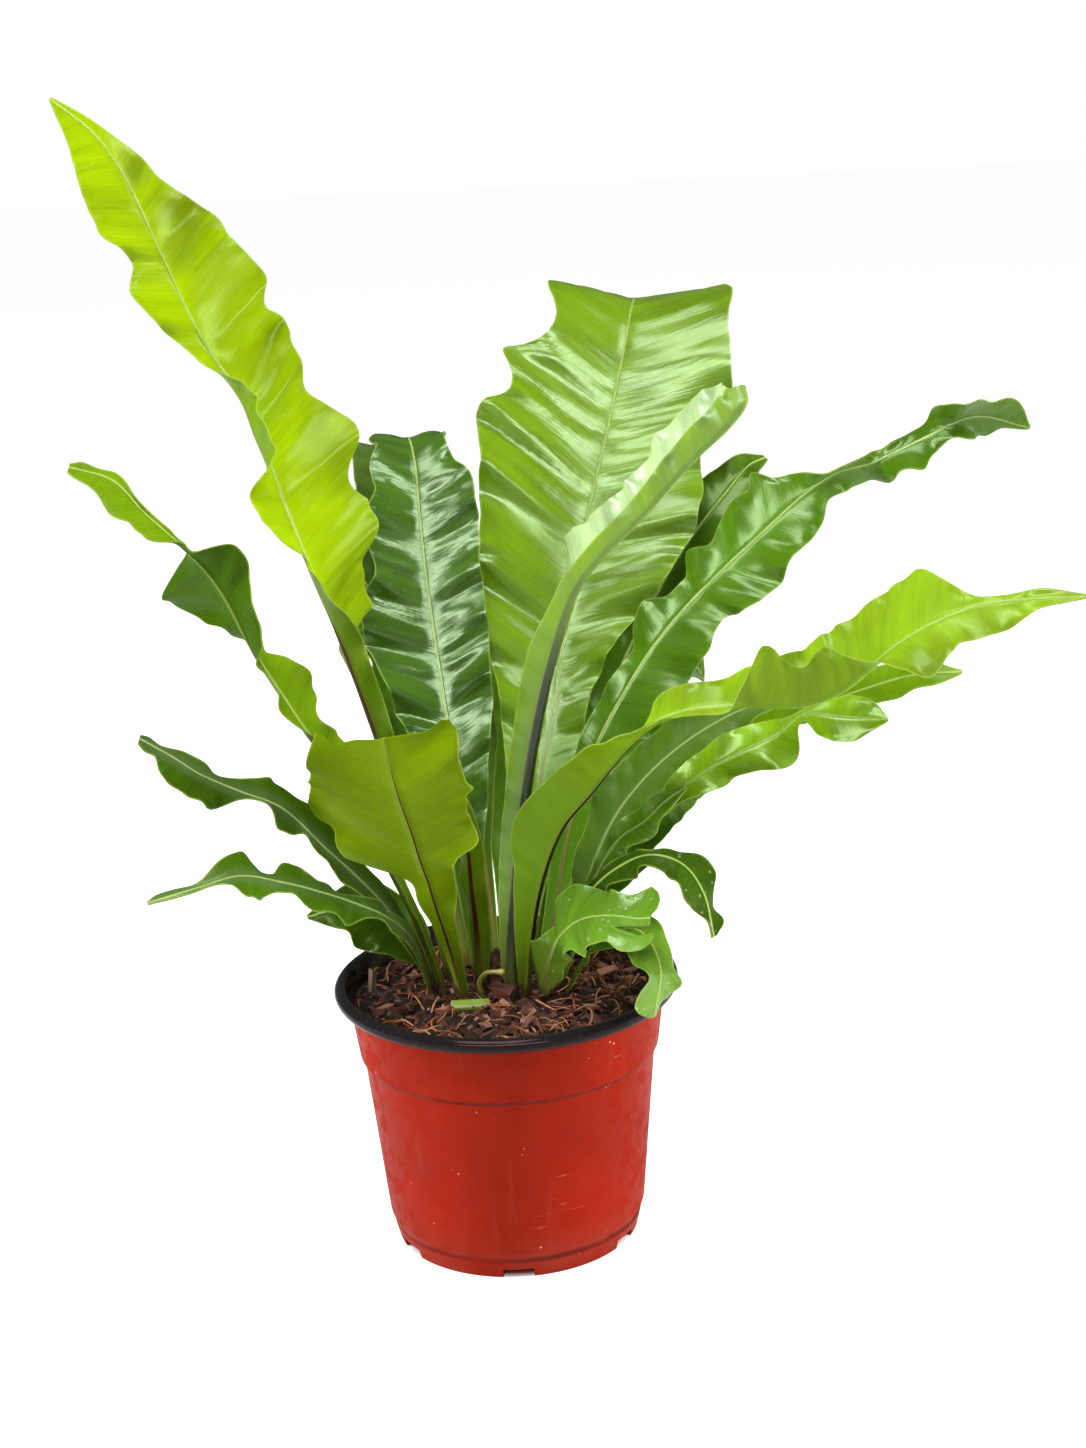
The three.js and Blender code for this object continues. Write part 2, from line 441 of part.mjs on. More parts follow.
function pottingMix() {
  const profile = INSIDE.slice(0, -1).map(([r, z]) => [Math.max(0, r - GAP), z === POT.floor ? z + GAP : z]);
  for (let k = SOIL.rings; k >= 0; k -= 1) profile.push([SOIL_RADIUS * k / SOIL.rings, SOIL.edge]);
  const geometry = new THREE.LatheGeometry(profile.map((p) => new THREE.Vector2(...p)), POT.sides).rotateX(Math.PI / 2);
  const at = geometry.attributes.position;
  for (let i = 0; i < at.count; i += 1) {
    if (Math.abs(at.getZ(i) - SOIL.edge) < 0.01) at.setZ(i, moundHeight(at.getX(i), at.getY(i)));
  }
  return solid(geometry);
}

// Plain round hole along the buried stretch of a stalk.
function stalkHole(spec) {
  const { curve, length } = midrib(spec);
  const from = curve.getPointAt(0);
  const axis = curve.getPointAt(STALK.buried / length).sub(from).normalize();
  const hole = new THREE.CylinderGeometry(HOLE.radius, HOLE.radius, HOLE.length, HOLE.sides);
  hole.translate(0, HOLE.length / 2 - 0.9, 0);
  hole.applyQuaternion(new THREE.Quaternion().setFromUnitVectors(new THREE.Vector3(0, 1, 0), axis));
  return solid(hole.translate(...from.toArray()));
}

// Knobbly upright crown: an ellipsoid with ripples that stand for leaf bases.
function crown(extra) {
  const geometry = new THREE.SphereGeometry(1, 16, 10).rotateX(Math.PI / 2);
  const at = geometry.attributes.position;
  for (let i = 0; i < at.count; i += 1) {
    const x = at.getX(i), y = at.getY(i), z = at.getZ(i);
    const swell = CROWN.scale * Math.sin(CROWN.ripples * Math.atan2(y, x) + 9 * z) * Math.hypot(x, y);
    const [rx, ry, rz] = CROWN.radii.map((r) => r + extra);
    at.setXYZ(i, x * (rx + swell), y * (ry + swell), z * rz);
  }
  return geometry.translate(...CROWN.centre);
}

function tube(points, radius, steps) {
  const section = new THREE.Shape(Array.from({ length: 8 }, (_, k) => {
    const angle = 2 * Math.PI * k / 8;
    return new THREE.Vector2(radius * Math.cos(angle), radius * Math.sin(angle));
  }));
  const extrudePath = new THREE.CatmullRomCurve3(points.map(vector));
  return new THREE.ExtrudeGeometry(section, { steps, extrudePath, bevelEnabled: false });
}

// Short oval stalk, cut square at its outer end.
function stump(extra) {
  const axis = vector(STUMP.to).sub(vector(STUMP.from));
  const geometry = new THREE.CylinderGeometry(1, 1, axis.length() + 2 * extra, 14);
  geometry.translate(0, axis.length() / 2, 0).scale(STUMP.radii[0] + extra, 1, STUMP.radii[1] + extra);
  geometry.applyQuaternion(new THREE.Quaternion().setFromUnitVectors(new THREE.Vector3(0, 1, 0), axis.normalize()));
  return geometry.translate(...STUMP.from);
}

// ---- Pot ---------------------------------------------------------------------
function pot() {
  const { foot, footTop, groove, bodyLow, bodyHigh, step, bandHigh, rim, rimLow, top } = POT;
  const outline = [
    [0, 0], [foot, 0], [bodyLow[0] - 1.6, footTop - 1.5], [bodyLow[0] - 0.6 - groove, footTop], bodyLow,
    bodyHigh, step, bandHigh, [rim - 1.2, rimLow], [rim, rimLow + 1.5], [rim, top - 1.5], [rim - 1.5, top],
    [bandHigh[0] + 2.6, top], [bandHigh[0] + 1.2, top - 1.5], ...INSIDE.slice().reverse(),
  ];
  const shell = new THREE.LatheGeometry(outline.map((p) => new THREE.Vector2(...p)), POT.sides).rotateX(Math.PI / 2);
  let body = solid(shell);
  for (let k = 0; k < NOTCH.count; k += 1) {
    const cutter = new THREE.BoxGeometry(NOTCH.width, 20, 2 * NOTCH.height).translate(0, -(NOTCH.inner + 10), 0);
    body = body.subtract(solid(cutter.rotateZ(2 * Math.PI * k / NOTCH.count)));
  }
  return body;
}

// ---- Assembly ------------------------------------------------------------------
place("pot", geometryOf(pot()), COLOR.pot, 0.5);

let mix = pottingMix().subtract(solid(crown(GAP))).subtract(solid(stump(GAP)));
for (const spec of Object.values(FRONDS)) mix = mix.subtract(stalkHole(spec));
mix = mix.subtract(solid(tube([[-7.8, -7.7, 109.2], ...YOUNG.path.slice(1, 3)], YOUNG.radius + 2 * GAP, 8)));
place("potting_mix", geometryOf(mix), COLOR.mix, 0.95);

place("crown", crown(0), COLOR.crown, 0.9);
place("frond_young", tube(YOUNG.path, YOUNG.radius, 12), COLOR.young, 0.5);
place("cut_stump", stump(0), COLOR.stump, 0.5);
for (const [name, spec] of Object.entries(FRONDS)) place(name, frond(spec), spec.color, 0.3);

export default group;
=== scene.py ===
"""Looks of a potted strap-leaved fern: waved, glossy fronds stand round a scaly crown in
bark mix, in a stepped nursery pot with a rolled rim.

Every surface is worked out with numpy as a function of two parameters, or as a section
carried along a path. Tables and functions work in millimetres, and add_mesh() turns them
to metres. The pot stands on z = 0 round the origin, and the plant faces -Y.
"""

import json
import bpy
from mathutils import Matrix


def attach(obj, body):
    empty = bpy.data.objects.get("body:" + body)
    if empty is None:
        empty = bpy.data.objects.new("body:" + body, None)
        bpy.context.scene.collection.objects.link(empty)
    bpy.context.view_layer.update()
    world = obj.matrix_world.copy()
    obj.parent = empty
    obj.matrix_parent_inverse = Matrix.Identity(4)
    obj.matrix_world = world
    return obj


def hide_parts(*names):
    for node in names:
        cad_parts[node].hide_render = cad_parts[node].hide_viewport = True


bl_info = {
    "name": "Potted Fern",
    "version": (1, 0, 0),
    "blender": (4, 5, 0),
    "location": "3D View > Sidebar > Fern",
    "description": "Dresses the plain solids of a potted fern with fronds, crown, potting mix and pot",
    "category": "Object",
}

import bpy
import numpy as np
from bpy.props import FloatProperty, FloatVectorProperty, IntProperty, PointerProperty
from mathutils import Matrix, Vector

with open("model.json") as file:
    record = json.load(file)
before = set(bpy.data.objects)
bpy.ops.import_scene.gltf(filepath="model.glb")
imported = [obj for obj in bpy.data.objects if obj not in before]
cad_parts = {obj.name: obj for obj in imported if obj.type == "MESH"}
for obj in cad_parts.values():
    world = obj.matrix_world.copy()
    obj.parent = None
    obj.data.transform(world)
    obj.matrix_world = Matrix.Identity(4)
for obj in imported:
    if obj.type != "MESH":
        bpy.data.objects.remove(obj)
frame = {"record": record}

MM = 0.001
BODY = "root"

# ---- Sizes that the plain solids share, in millimetres ---------------------------------
POT = dict(
    foot=57, foot_top=9, groove=1.2, body_low=(60.5, 13), body_high=(68, 90), step=(70, 93),
    band_high=(73.5, 119), rim=80, rim_low=120, top=126, wall=1.8, floor=2.5,
)
NOTCH = dict(count=6, half_width=7, inner=51, height=4.2)
SOIL = dict(edge=116.5, mound=3, spread=38, relief=0.9, radius=71.2)
CROWN = dict(centre=(-4, 1, 117), radii=(6.2, 5.8, 17))
STALK = dict(half=2.3, buried=19, spread=0.4)
FOOT = [0, 2.2]  # half width of every blade where it leaves the crown
RIB = dict(half=(1.2, 0.5, 1.3), depth=(2.2, 0.6, 1.15))  # base, tip, how much sooner it gets there
RUFFLE = [[0, 0], [0.3, 0.2], [0.5, 1], [0.9, 1], [1, 0.3]]
YOUNG_PATH = [[-8, -8, 110], [-10, -11, 118], [-12.2, -14, 127], [-8.5, -17.5, 133.5], [0, -19, 134]]
STUMP = dict(start=(-8, -19, 118.5), end=(-25, -22, 119.5), radii=(3.4, 3))

# ---- Details that only the finished surfaces have, in millimetres ---------------------
VEIN_SLANT = 0.47  # a side vein runs this far towards the tip for each millimetre from the rib
CREASE = 3  # the fold beside the rib is spread over this width
RIB_COLUMNS = np.array([0, 0.3, 0.6, 0.9, 1.2, 1.6])  # columns beside the rib, in rib half widths
RIB_SHARE = 0.34  # the rib is at most this share of a narrow half blade
BLADE_COLUMNS = 11  # further columns out to the margin
CROWDING = 0.93  # power that draws those columns a little towards the margin
RUFFLE_ROOM = 7  # half width from which a ruffle has its full height
SPILL = 1.7  # power by which the ruffles fade from the margin to the rib
# The finer waves come in over a range of half widths (wide) or of distances from the rib (out).
RIDGE = dict(height=0.5, spacing=13, out=(1.5, 8.5), wide=(5, 17))  # folds between side veins
FRILL = dict(height=1.1, spacing=15, band=0.72, wide=(5, 15))  # short waves along the outer margin
SCALLOP = dict(height=0.5, spacing=9, wide=(6, 16))  # how far the margin's outline wanders
WANDER = dict(height=0.7, spacing=30, wide=(6, 18))  # how far a blade strays from its even surface
MARGIN = dict(band=0.8, thinning=0.5)  # a blade is thinner over its outer band
# The upper ridge of the rib, its groove and the keel below, with widths in rib half widths
MIDRIB = dict(rise=0.42, groove=0.36, groove_width=0.4, keel_width=1.6, wide=(2, 6))
DRAWN_REACH = 0.3  # share of a frond over which its tip is drawn back

# Each frond: lean is the compass angle that it leans to (0 is -Y, 90 is +X). rib lists
# points on the midrib from the base up. left and right are the half widths above the foot,
# with the tip up and the upper face in view, and both stands for two that are alike. roll
# turns the blade about the rib, and fold lifts each half out of the plane, in degrees. wave
# is the height, length and start of the ruffles on the margin. A fold or wave with _left or
# _right holds for that half. ruffle scales the waves along the frond, and a low spill lets
# them reach nearer the rib. ridge, frill and wander scale the folds between side veins, the
# short waves of the margin and the straying of the blade. spread is how fast the stalk may
# widen. tip draws the end back, in millimetres, from the left margin at -1 to the right one
# at 1. All other keys are [0..1 along the frond, value].
FRONDS = {
    "frond_tall_left": dict(
        lean=270,
        rib=[[-22, 5, 104], [-33, 9, 156], [-43, 10, 200], [-54, 9, 245], [-67, 10, 289],
             [-82, 15, 329], [-103, 26, 392], [-120, 29, 422], [-136, 30, 462], [-150, 29, 498],
             [-160, 27, 513], [-176, 22, 528]],
        left=[[0.22, 7], [0.45, 11], [0.55, 16], [0.6, 16], [0.66, 14], [0.72, 7], [0.765, 16],
              [0.8, 21], [0.825, 13], [0.865, 22], [0.92, 20], [0.95, 15], [0.98, 7], [1, 0.8]],
        right=[[0.22, 9], [0.36, 19], [0.46, 30], [0.5, 36], [0.53, 38], [0.555, 35], [0.58, 40],
               [0.605, 42], [0.63, 35], [0.655, 29], [0.68, 32], [0.705, 37], [0.735, 32], [0.765, 37],
               [0.8, 34], [0.83, 29], [0.87, 18], [0.92, 8], [1, 1]],
        roll=[[0, 40], [0.38, 40], [0.46, -30], [0.55, -60], [1, -65]],
        fold_left=[[0, 50], [0.4, 50], [0.47, 70], [0.53, 25], [0.575, 30], [0.61, 100], [0.65, 118],
                   [0.69, 85], [0.73, 25], [0.8, 8], [1, 8]],
        fold_right=[[0, 50], [0.38, 40], [0.5, 10], [1, 6]], wave=[8, 38, 0.1], wave_left=[3, 40, 0.4],
        ruffle=[[0, 0], [0.3, 0.2], [0.5, 1], [0.8, 1], [0.9, 0.45], [1, 0]],
        spill=1.1, ridge=1.2, wander=1.6,
    ),
    "frond_thin_left": dict(
        lean=270,
        rib=[[-25, -4, 104], [-38, -6, 152], [-50, -10, 184], [-65, -14, 223], [-84, -18, 255],
             [-102, -18, 288], [-120, -14, 324], [-146, -14, 353], [-158, -16, 368], [-176, -18, 375]],
        left=[[0.25, 6], [0.4, 8], [0.45, 8], [0.5, 4], [0.55, 5], [0.6, 3], [0.645, 10], [0.68, 12],
              [0.72, 15], [0.76, 20], [0.785, 12], [0.8, 5], [0.82, 7], [0.84, 11], [0.87, 14],
              [0.9, 13], [0.93, 11], [0.96, 8], [0.985, 6], [1, 3]],
        right=[[0.25, 6], [0.4, 9], [0.45, 14], [0.5, 9], [0.55, 18], [0.6, 14], [0.63, 8], [0.66, 12],
               [0.68, 9], [0.7, 17], [0.73, 31], [0.755, 36], [0.775, 35], [0.787, 30], [0.796, 18],
               [0.803, 6], [0.81, 3], [0.84, 2.5], [0.9, 2], [0.94, 4], [0.96, 3], [0.985, 4], [1, 2]],
        roll=[[0, -10], [0.3, -10], [0.55, -30], [0.6, -30], [0.69, 70], [0.77, 70], [0.83, -30],
              [1, -40]],
        fold_left=[[0, 40], [0.3, 30], [0.36, 75], [0.41, 0], [0.47, 75], [0.54, 0], [0.6, 40],
                   [0.68, 0], [0.8, 10], [0.86, 40], [0.92, 0], [1, 0]],
        fold_right=20, wave=[2.5, 26, 0.2],
    ),
    "frond_left_upper": dict(
        lean=280,
        rib=[[-28, 12, 104], [-47, -6, 154], [-62, -12, 177], [-78, -18, 197], [-95, -30, 221],
             [-112, -38, 232], [-127, -47, 243], [-139, -52, 254], [-150, -56, 263]],
        left=[[0.3, 7], [0.4, 6], [0.45, 7.5], [0.5, 9], [0.55, 7], [0.575, 3], [0.61, 8], [0.645, 9],
              [0.67, 5], [0.7, 2], [0.75, 4], [0.8, 11], [0.845, 17], [0.88, 18], [0.915, 16],
              [0.94, 11], [0.96, 4], [0.98, 4.5], [1, 3]],
        right=[[0.3, 7], [0.5, 12], [0.62, 12], [0.67, 12], [0.72, 9], [0.8, 5.5], [0.9, 6], [0.955, 3],
               [0.98, 4], [1, 2.5]],
        roll=-35, fold=5, wave=[3, 40, 0.4],
    ),
    "frond_left_low": dict(
        lean=290,
        rib=[[-31, 5, 104], [-42, -15, 150], [-52, -34, 169], [-66, -46, 181], [-79, -56, 190],
             [-94, -64, 198], [-110, -74, 205], [-126, -80, 203], [-148, -86, 199]],
        left=[[0.25, 6], [0.4, 6], [0.47, 7], [0.52, 12], [0.58, 15], [0.62, 15], [0.645, 11],
              [0.67, 5], [0.7, 5], [0.74, 8], [0.775, 14], [0.8, 14], [0.82, 8], [0.85, 2.5], [0.9, 2],
              [0.95, 1.5], [1, 1]],
        right=[[0.25, 6], [0.42, 6], [0.55, 5], [0.6, 5], [0.625, 7.5], [0.655, 12], [0.68, 12],
               [0.705, 5.5], [0.725, 5], [0.75, 10], [0.775, 14.5], [0.8, 12], [0.85, 6], [0.9, 2.5],
               [0.95, 4], [0.98, 3], [1, 1]],
        roll=-30, fold=5, wave=[3, 40, 0.1],
    ),
    "frond_left_hidden": dict(
        lean=270,
        rib=[[-25, 19, 104], [-42, 12, 136], [-53, 12, 148], [-69, 10, 158], [-80, 8, 158],
             [-91, 6, 156]],
        left=[[0.28, 3], [0.45, 12], [0.7, 17], [0.85, 10], [1, 1]],
        right=[[0.28, 3], [0.45, 12], [0.7, 15], [0.85, 8], [1, 1]],
        roll=-60, fold=5, wave=[3, 34, 0.1],
    ),
    "frond_front": dict(
        lean=330,
        rib=[[-17, -11, 104], [-24, -22, 149], [-30, -36, 180], [-35, -50, 208], [-40, -58, 232],
             [-45, -63, 258], [-46.5, -65, 267]],
        left=[[0.19, 4], [0.38, 7.5], [0.43, 10], [0.52, 13], [0.57, 15.5], [0.62, 20], [0.645, 28],
              [0.665, 30], [0.71, 27], [0.76, 29], [0.79, 31], [0.81, 35], [0.83, 33], [0.9, 33.5],
              [0.95, 35], [1, 33]],
        right=[[0.19, 3.5], [0.285, 5.5], [0.38, 7], [0.43, 9.5], [0.485, 14], [0.505, 22], [0.525, 36],
               [0.55, 38], [0.62, 41], [0.665, 43], [0.69, 52], [0.715, 55], [0.76, 51], [0.81, 47],
               [0.855, 43], [0.9, 40], [0.95, 36], [1, 33]],
        roll=6, fold=4, wave=[4, 44, 0.3], ruffle=[[0, 0], [0.4, 0.3], [0.6, 1], [1, 1]], ridge=0.3,
        wander=2.2, spread=1,
        tip=[[-1, 5], [-0.87, 0], [-0.75, 2], [-0.6, 5], [-0.35, 5.5], [0, 7], [0.15, 8], [0.45, 9.2],
             [0.7, 11], [0.8, 10], [0.9, 7], [1, 6.5]],
    ),
    "frond_front_inner": dict(
        lean=335,
        rib=[[-13, -3, 104], [-12, -8, 151], [-13, -14, 173], [-14, -22, 199], [-19, -28, 220],
             [-28, -30, 238]],
        left=[[0.3, 6], [0.6, 7], [0.8, 7], [1, 1]],
        right=[[0.3, 5], [0.6, 8], [0.8, 8], [1, 1]],
        roll=0, fold=35, wave=[1, 30, 0.3],
    ),
    "frond_centre_dark": dict(
        lean=187,
        rib=[[-12, 9, 104], [-14, 16, 152], [-17, 24, 199], [-21, 32, 233], [-25, 42, 269],
             [-28, 50, 299], [-30, 57, 331], [-31, 65, 354], [-34, 81, 365], [-38, 98, 359],
             [-41, 110, 342]],
        left=[[0.2, 7], [0.35, 12], [0.45, 22], [0.55, 31], [0.6, 34], [0.68, 24], [0.72, 27],
              [0.75, 26], [0.79, 20], [0.82, 21], [0.85, 17], [0.88, 19], [0.91, 13], [0.95, 10],
              [1, 1]],
        right=[[0.2, 6], [0.35, 15], [0.45, 22], [0.55, 25], [0.65, 26], [0.75, 27], [0.8, 24],
               [0.82, 18], [0.85, 16], [0.88, 18], [0.91, 12], [0.95, 9], [1, 1]],
        roll=0, fold=10, wave=[4, 27, 0.3],
        ruffle=[[0, 0], [0.3, 0.2], [0.5, 1], [0.8, 1], [0.9, 0.4], [1, 0.2]],
        ridge=1.8,
    ),
    "frond_centre_behind": dict(
        lean=205,
        rib=[[-4, 16, 104], [-7, 30, 159], [-13, 46, 202], [-22, 66, 246], [-34, 84, 287],
             [-44, 98, 324], [-50, 116, 348], [-54, 136, 354], [-58, 156, 344], [-61, 168, 324]],
        left=[[0.2, 6], [0.35, 16], [0.5, 26], [0.65, 28], [0.75, 18], [0.85, 12], [0.94, 8], [1, 1]],
        right=[[0.15, 3], [0.22, 5], [0.3, 12], [0.38, 19], [0.5, 26], [0.75, 26], [0.88, 20],
               [0.95, 10], [1, 1]],
        roll=5, fold=8, wave=[4, 40, 0.1],
        ruffle=[[0, 0], [0.3, 0.2], [0.5, 1], [0.74, 1], [0.84, 0.2], [1, 0.2]],
    ),
    "frond_centre_big": dict(
        lean=180,
        rib=[[5, 9, 104], [9, 16, 141], [15, 26, 173], [21, 38, 211], [28, 47, 240], [36, 60, 277],
             [46, 72, 318], [60, 88, 365], [70, 101, 402], [75, 118, 419], [78, 138, 419],
             [81, 158, 402], [82, 174, 374]],
        left=[[0.12, 7], [0.2, 12], [0.28, 19], [0.36, 30], [0.44, 43], [0.5, 48], [0.56, 53],
              [0.61, 59], [0.64, 62], [0.655, 60], [0.67, 51], [0.69, 49], [0.705, 52], [0.72, 56],
              [0.73, 47], [0.745, 38], [0.77, 35], [0.79, 38], [0.815, 42], [0.83, 33], [0.87, 25],
              [0.95, 10], [1, 1]],
        right=[[0.12, 7], [0.2, 11], [0.3, 16], [0.36, 17], [0.43, 27], [0.5, 43], [0.55, 50],
               [0.6, 52], [0.65, 46], [0.7, 56], [0.75, 51], [0.8, 47], [0.84, 46], [0.86, 38],
               [0.9, 24], [0.95, 12], [1, 1]],
        roll=0, fold=[[0, 14], [0.55, 12], [0.72, 4], [1, 6]],
        fold_left=[[0, 14], [0.55, 12], [0.72, 6], [0.78, 12], [0.82, 16], [0.86, 12], [1, 6]],
        wave=[4, 36, 0.3],
        ruffle=[[0, 0], [0.3, 0.3], [0.5, 1], [0.7, 1], [0.78, 0.3], [1, 0.2]],
        ridge=1.1,
    ),
    "frond_rolled": dict(
        lean=42,
        rib=[[2, -12, 104], [4, -14, 138], [12, -24, 205], [20, -32, 251], [30, -40, 290],
             [40, -46, 317], [51, -52, 332], [67, -58, 348], [92, -66, 375], [105, -70, 388],
             [111, -72, 397], [110, -70, 404]],
        left=[[0.2, 4], [0.45, 6], [0.56, 10], [0.6, 24], [0.65, 32], [0.7, 23], [0.76, 18], [0.81, 19],
              [0.85, 23], [0.9, 26], [0.95, 28], [0.985, 22], [1, 16]],
        right=[[0.2, 9], [0.45, 11], [0.55, 12], [0.62, 9], [0.7, 8], [0.8, 9], [0.88, 11], [0.95, 12],
               [0.985, 11], [1, 8]],
        roll=[[0, -10], [0.5, -10], [1, 0]],
        fold_left=[[0, 50], [0.5, 50], [0.6, 55], [0.65, 66], [0.7, 86], [0.76, 106], [0.8, 100],
                   [0.85, 88], [0.9, 80], [0.95, 70], [1, 65]],
        fold_right=[[0, 45], [0.5, 45], [0.6, 62], [1, 64]], wave=[1, 30, 0.3], wave_left=[2, 21, 0.3],
        ruffle=[[0, 0], [0.56, 0.1], [0.66, 1], [0.9, 1], [1, 0.2]], ridge=1.1, frill=1.3,
    ),
    "frond_black_rib": dict(
        lean=60,
        rib=[[8, -11, 104], [12, -20, 149], [19, -26, 182], [29, -32, 207], [41, -38, 223],
             [67, -50, 255], [83, -56, 264], [103, -61, 267], [131, -70, 268], [150, -74, 276],
             [168, -78, 292], [184, -82, 303], [202, -86, 311], [224, -90, 314], [246, -94, 315]],
        left=[[0.12, 6], [0.3, 8], [0.4, 8], [0.45, 7], [0.5, 11], [0.55, 12], [0.6, 18], [0.635, 24],
              [0.67, 26], [0.714, 27], [0.777, 25], [0.81, 26], [0.838, 25], [0.86, 13], [0.88, 5],
              [0.91, 3], [0.95, 4], [1, 1]],
        right=[[0.12, 7], [0.22, 14], [0.28, 22], [0.36, 20], [0.44, 20], [0.48, 13], [0.52, 5],
               [0.565, 5], [0.59, 16], [0.615, 34], [0.645, 28], [0.675, 21], [0.715, 23], [0.755, 7],
               [0.775, 14], [0.8, 21], [0.84, 15], [0.9, 13], [0.95, 5], [1, 1]],
        roll=[[0, -5], [0.42, 0], [0.48, 30], [0.53, 60], [1, 60]],
        fold_left=[[0, 45], [0.4, 35], [0.5, 10], [1, 5]],
        fold_right=[[0, 45], [0.4, 35], [0.5, 30], [0.56, 70], [0.6, 125], [0.65, 135], [0.7, 128],
                    [0.735, 115], [0.765, 40], [0.8, 10], [1, 8]],
        wave=[3, 45, 0.2], ridge=0.5,
    ),
    "frond_right_wide": dict(
        lean=90,
        rib=[[13, 5, 104], [25, 10, 155], [34, 14, 195], [47, 18, 229], [64, 23, 257], [84, 27, 283],
             [123, 28, 320], [158, 28, 348], [177, 28, 353], [201, 28, 363], [223, 27, 372],
             [247, 24, 366]],
        left=[[0.2, 7], [0.4, 9], [0.45, 8], [0.475, 14], [0.5, 16.5], [0.525, 10], [0.55, 10],
              [0.575, 18], [0.6, 13], [0.625, 17], [0.655, 20], [0.675, 19], [0.69, 24], [0.705, 15],
              [0.72, 11], [0.75, 5], [0.8, 4], [0.85, 5], [0.88, 8], [0.905, 12], [0.92, 17],
              [0.937, 17], [0.95, 11], [0.965, 14], [0.98, 11], [1, 1]],
        right=[[0.12, 3.5], [0.2, 8], [0.35, 20], [0.42, 29], [0.46, 23], [0.5, 25], [0.55, 16],
               [0.59, 24], [0.65, 21], [0.7, 17], [0.75, 9], [0.8, 11], [0.84, 13], [0.855, 16],
               [0.87, 9], [0.885, 6], [0.905, 6], [0.92, 10], [0.94, 15], [0.955, 14], [0.97, 7],
               [1, 1]],
        roll=[[0, 60], [0.62, 65], [0.72, 78], [0.755, 118], [0.8, 118], [0.83, 50], [0.885, 50],
              [0.915, 122], [1, 125]],
        fold=6, wave=[4, 33, 0.3],
    ),
    "frond_right_behind": dict(
        lean=120,
        rib=[[9, 18, 104], [30, 36, 163], [41, 52, 207], [56, 63, 243], [76, 72, 280], [97, 80, 311],
             [116, 88, 332], [127, 96, 342], [136, 106, 344]],
        left=[[0.2, 9], [0.4, 20], [0.6, 24], [0.78, 20], [0.9, 13], [1, 2]],
        right=[[0.2, 9], [0.4, 20], [0.6, 24], [0.78, 20], [0.9, 12], [1, 2]],
        roll=[[0, 30], [1, 40]], fold=8, wave=[3, 32, 0.5],
    ),
    "frond_right_low": dict(
        lean=90,
        rib=[[16, 10, 104], [33, 1, 147], [42, -3, 176], [54, -7, 203], [68, -9, 221], [82, -11, 234],
             [97, -12, 244], [114, -13, 252], [129, -14, 254]],
        left=[[0.25, 5], [0.42, 11], [0.55, 14], [0.7, 14], [0.85, 14], [1, 1]],
        right=[[0.25, 8], [0.42, 22], [0.55, 28], [0.68, 26], [0.8, 14], [0.92, 8], [1, 1]],
        roll=55, fold=5, wave=[4, 40, 0.3],
    ),
    "frond_right_chain": dict(
        lean=85,
        rib=[[19, 3, 104], [42, -13, 170], [68, -28, 208], [91, -35, 229], [110, -38, 240],
             [126, -40, 248], [136, -42, 256], [151, -44, 255], [172, -46, 253]],
        left=[[0.3, 4], [0.45, 3], [0.55, 5], [0.63, 9], [0.72, 10], [0.79, 7], [0.84, 2], [0.88, 6],
              [0.93, 10], [0.97, 8], [1, 1]],
        right=[[0.3, 4], [0.45, 3], [0.55, 5], [0.63, 9], [0.72, 11], [0.79, 15], [0.84, 3], [0.88, 10],
               [0.93, 11], [0.97, 6], [1, 1]],
        roll=60, fold=5, wave=[3, 34, 0.2],
    ),
    "frond_right_inner": dict(
        lean=90,
        rib=[[15, 17, 104], [44, 15, 169], [85, 16, 206], [119, 10, 233], [148, 0, 248],
             [169, -10, 258], [188, -18, 265], [208, -24, 267]],
        left=[[0.3, 7], [0.5, 10], [0.7, 12], [0.82, 9], [0.9, 9], [1, 1]],
        right=[[0.3, 7], [0.5, 8], [0.65, 4], [0.76, 6], [0.86, 8], [0.93, 8], [1, 1]],
        roll=50, fold=5, wave=[3, 36, 0.2],
    ),
    "frond_right_small": dict(
        lean=80,
        rib=[[16, -3, 104], [45, -21, 182], [55, -28, 199], [66, -33, 208], [74, -37, 217],
             [84, -40, 225]],
        left=[[0.4, 4], [0.6, 4], [0.8, 7], [0.9, 6], [1, 1]],
        right=[[0.4, 4], [0.6, 5], [0.8, 8], [0.9, 6], [1, 1]],
        roll=55, fold=8, wave=[2, 22, 0.2],
    ),
    "frond_right_droop": dict(
        lean=85,
        rib=[[9, -4, 104], [36, -26, 168], [55, -42, 191], [68, -48, 197], [81, -52, 193],
             [89, -55, 181], [93, -57, 161]],
        left=[[0.4, 5], [0.55, 4], [0.65, 5], [0.7, 2.5], [0.75, 6], [0.8, 8.5], [0.85, 11], [0.9, 6.5],
              [0.93, 6], [0.96, 8], [1, 2]],
        right=[[0.4, 5], [0.55, 6], [0.65, 8], [0.7, 6.5], [0.75, 6.5], [0.8, 10.5], [0.85, 12.5],
               [0.9, 9.5], [0.93, 5], [0.96, 1.8], [1, 2]],
        roll=38, fold=0, wave=[3, 24, 0.2], ruffle=[[0, 0], [0.5, 0.6], [0.7, 1], [1, 0.8]],
    ),
    "frond_forked": dict(
        lean=75,
        rib=[[14, -10, 104], [20, -24, 138], [26, -38, 157], [36, -50, 169], [48, -60, 174],
             [61, -68, 175], [67, -72, 177]],
        left=[[0.2, 4], [0.27, 9], [0.33, 15], [0.4, 9], [0.46, 8], [0.53, 15], [0.6, 21], [0.65, 19],
              [0.75, 15], [0.82, 11], [0.88, 12], [0.94, 17], [0.98, 17], [1, 13]],
        right=[[0.2, 4], [0.28, 9], [0.34, 8], [0.42, 9], [0.5, 12], [0.6, 12], [0.7, 17], [0.75, 16],
               [0.84, 13], [0.9, 16], [0.96, 16], [1, 12]],
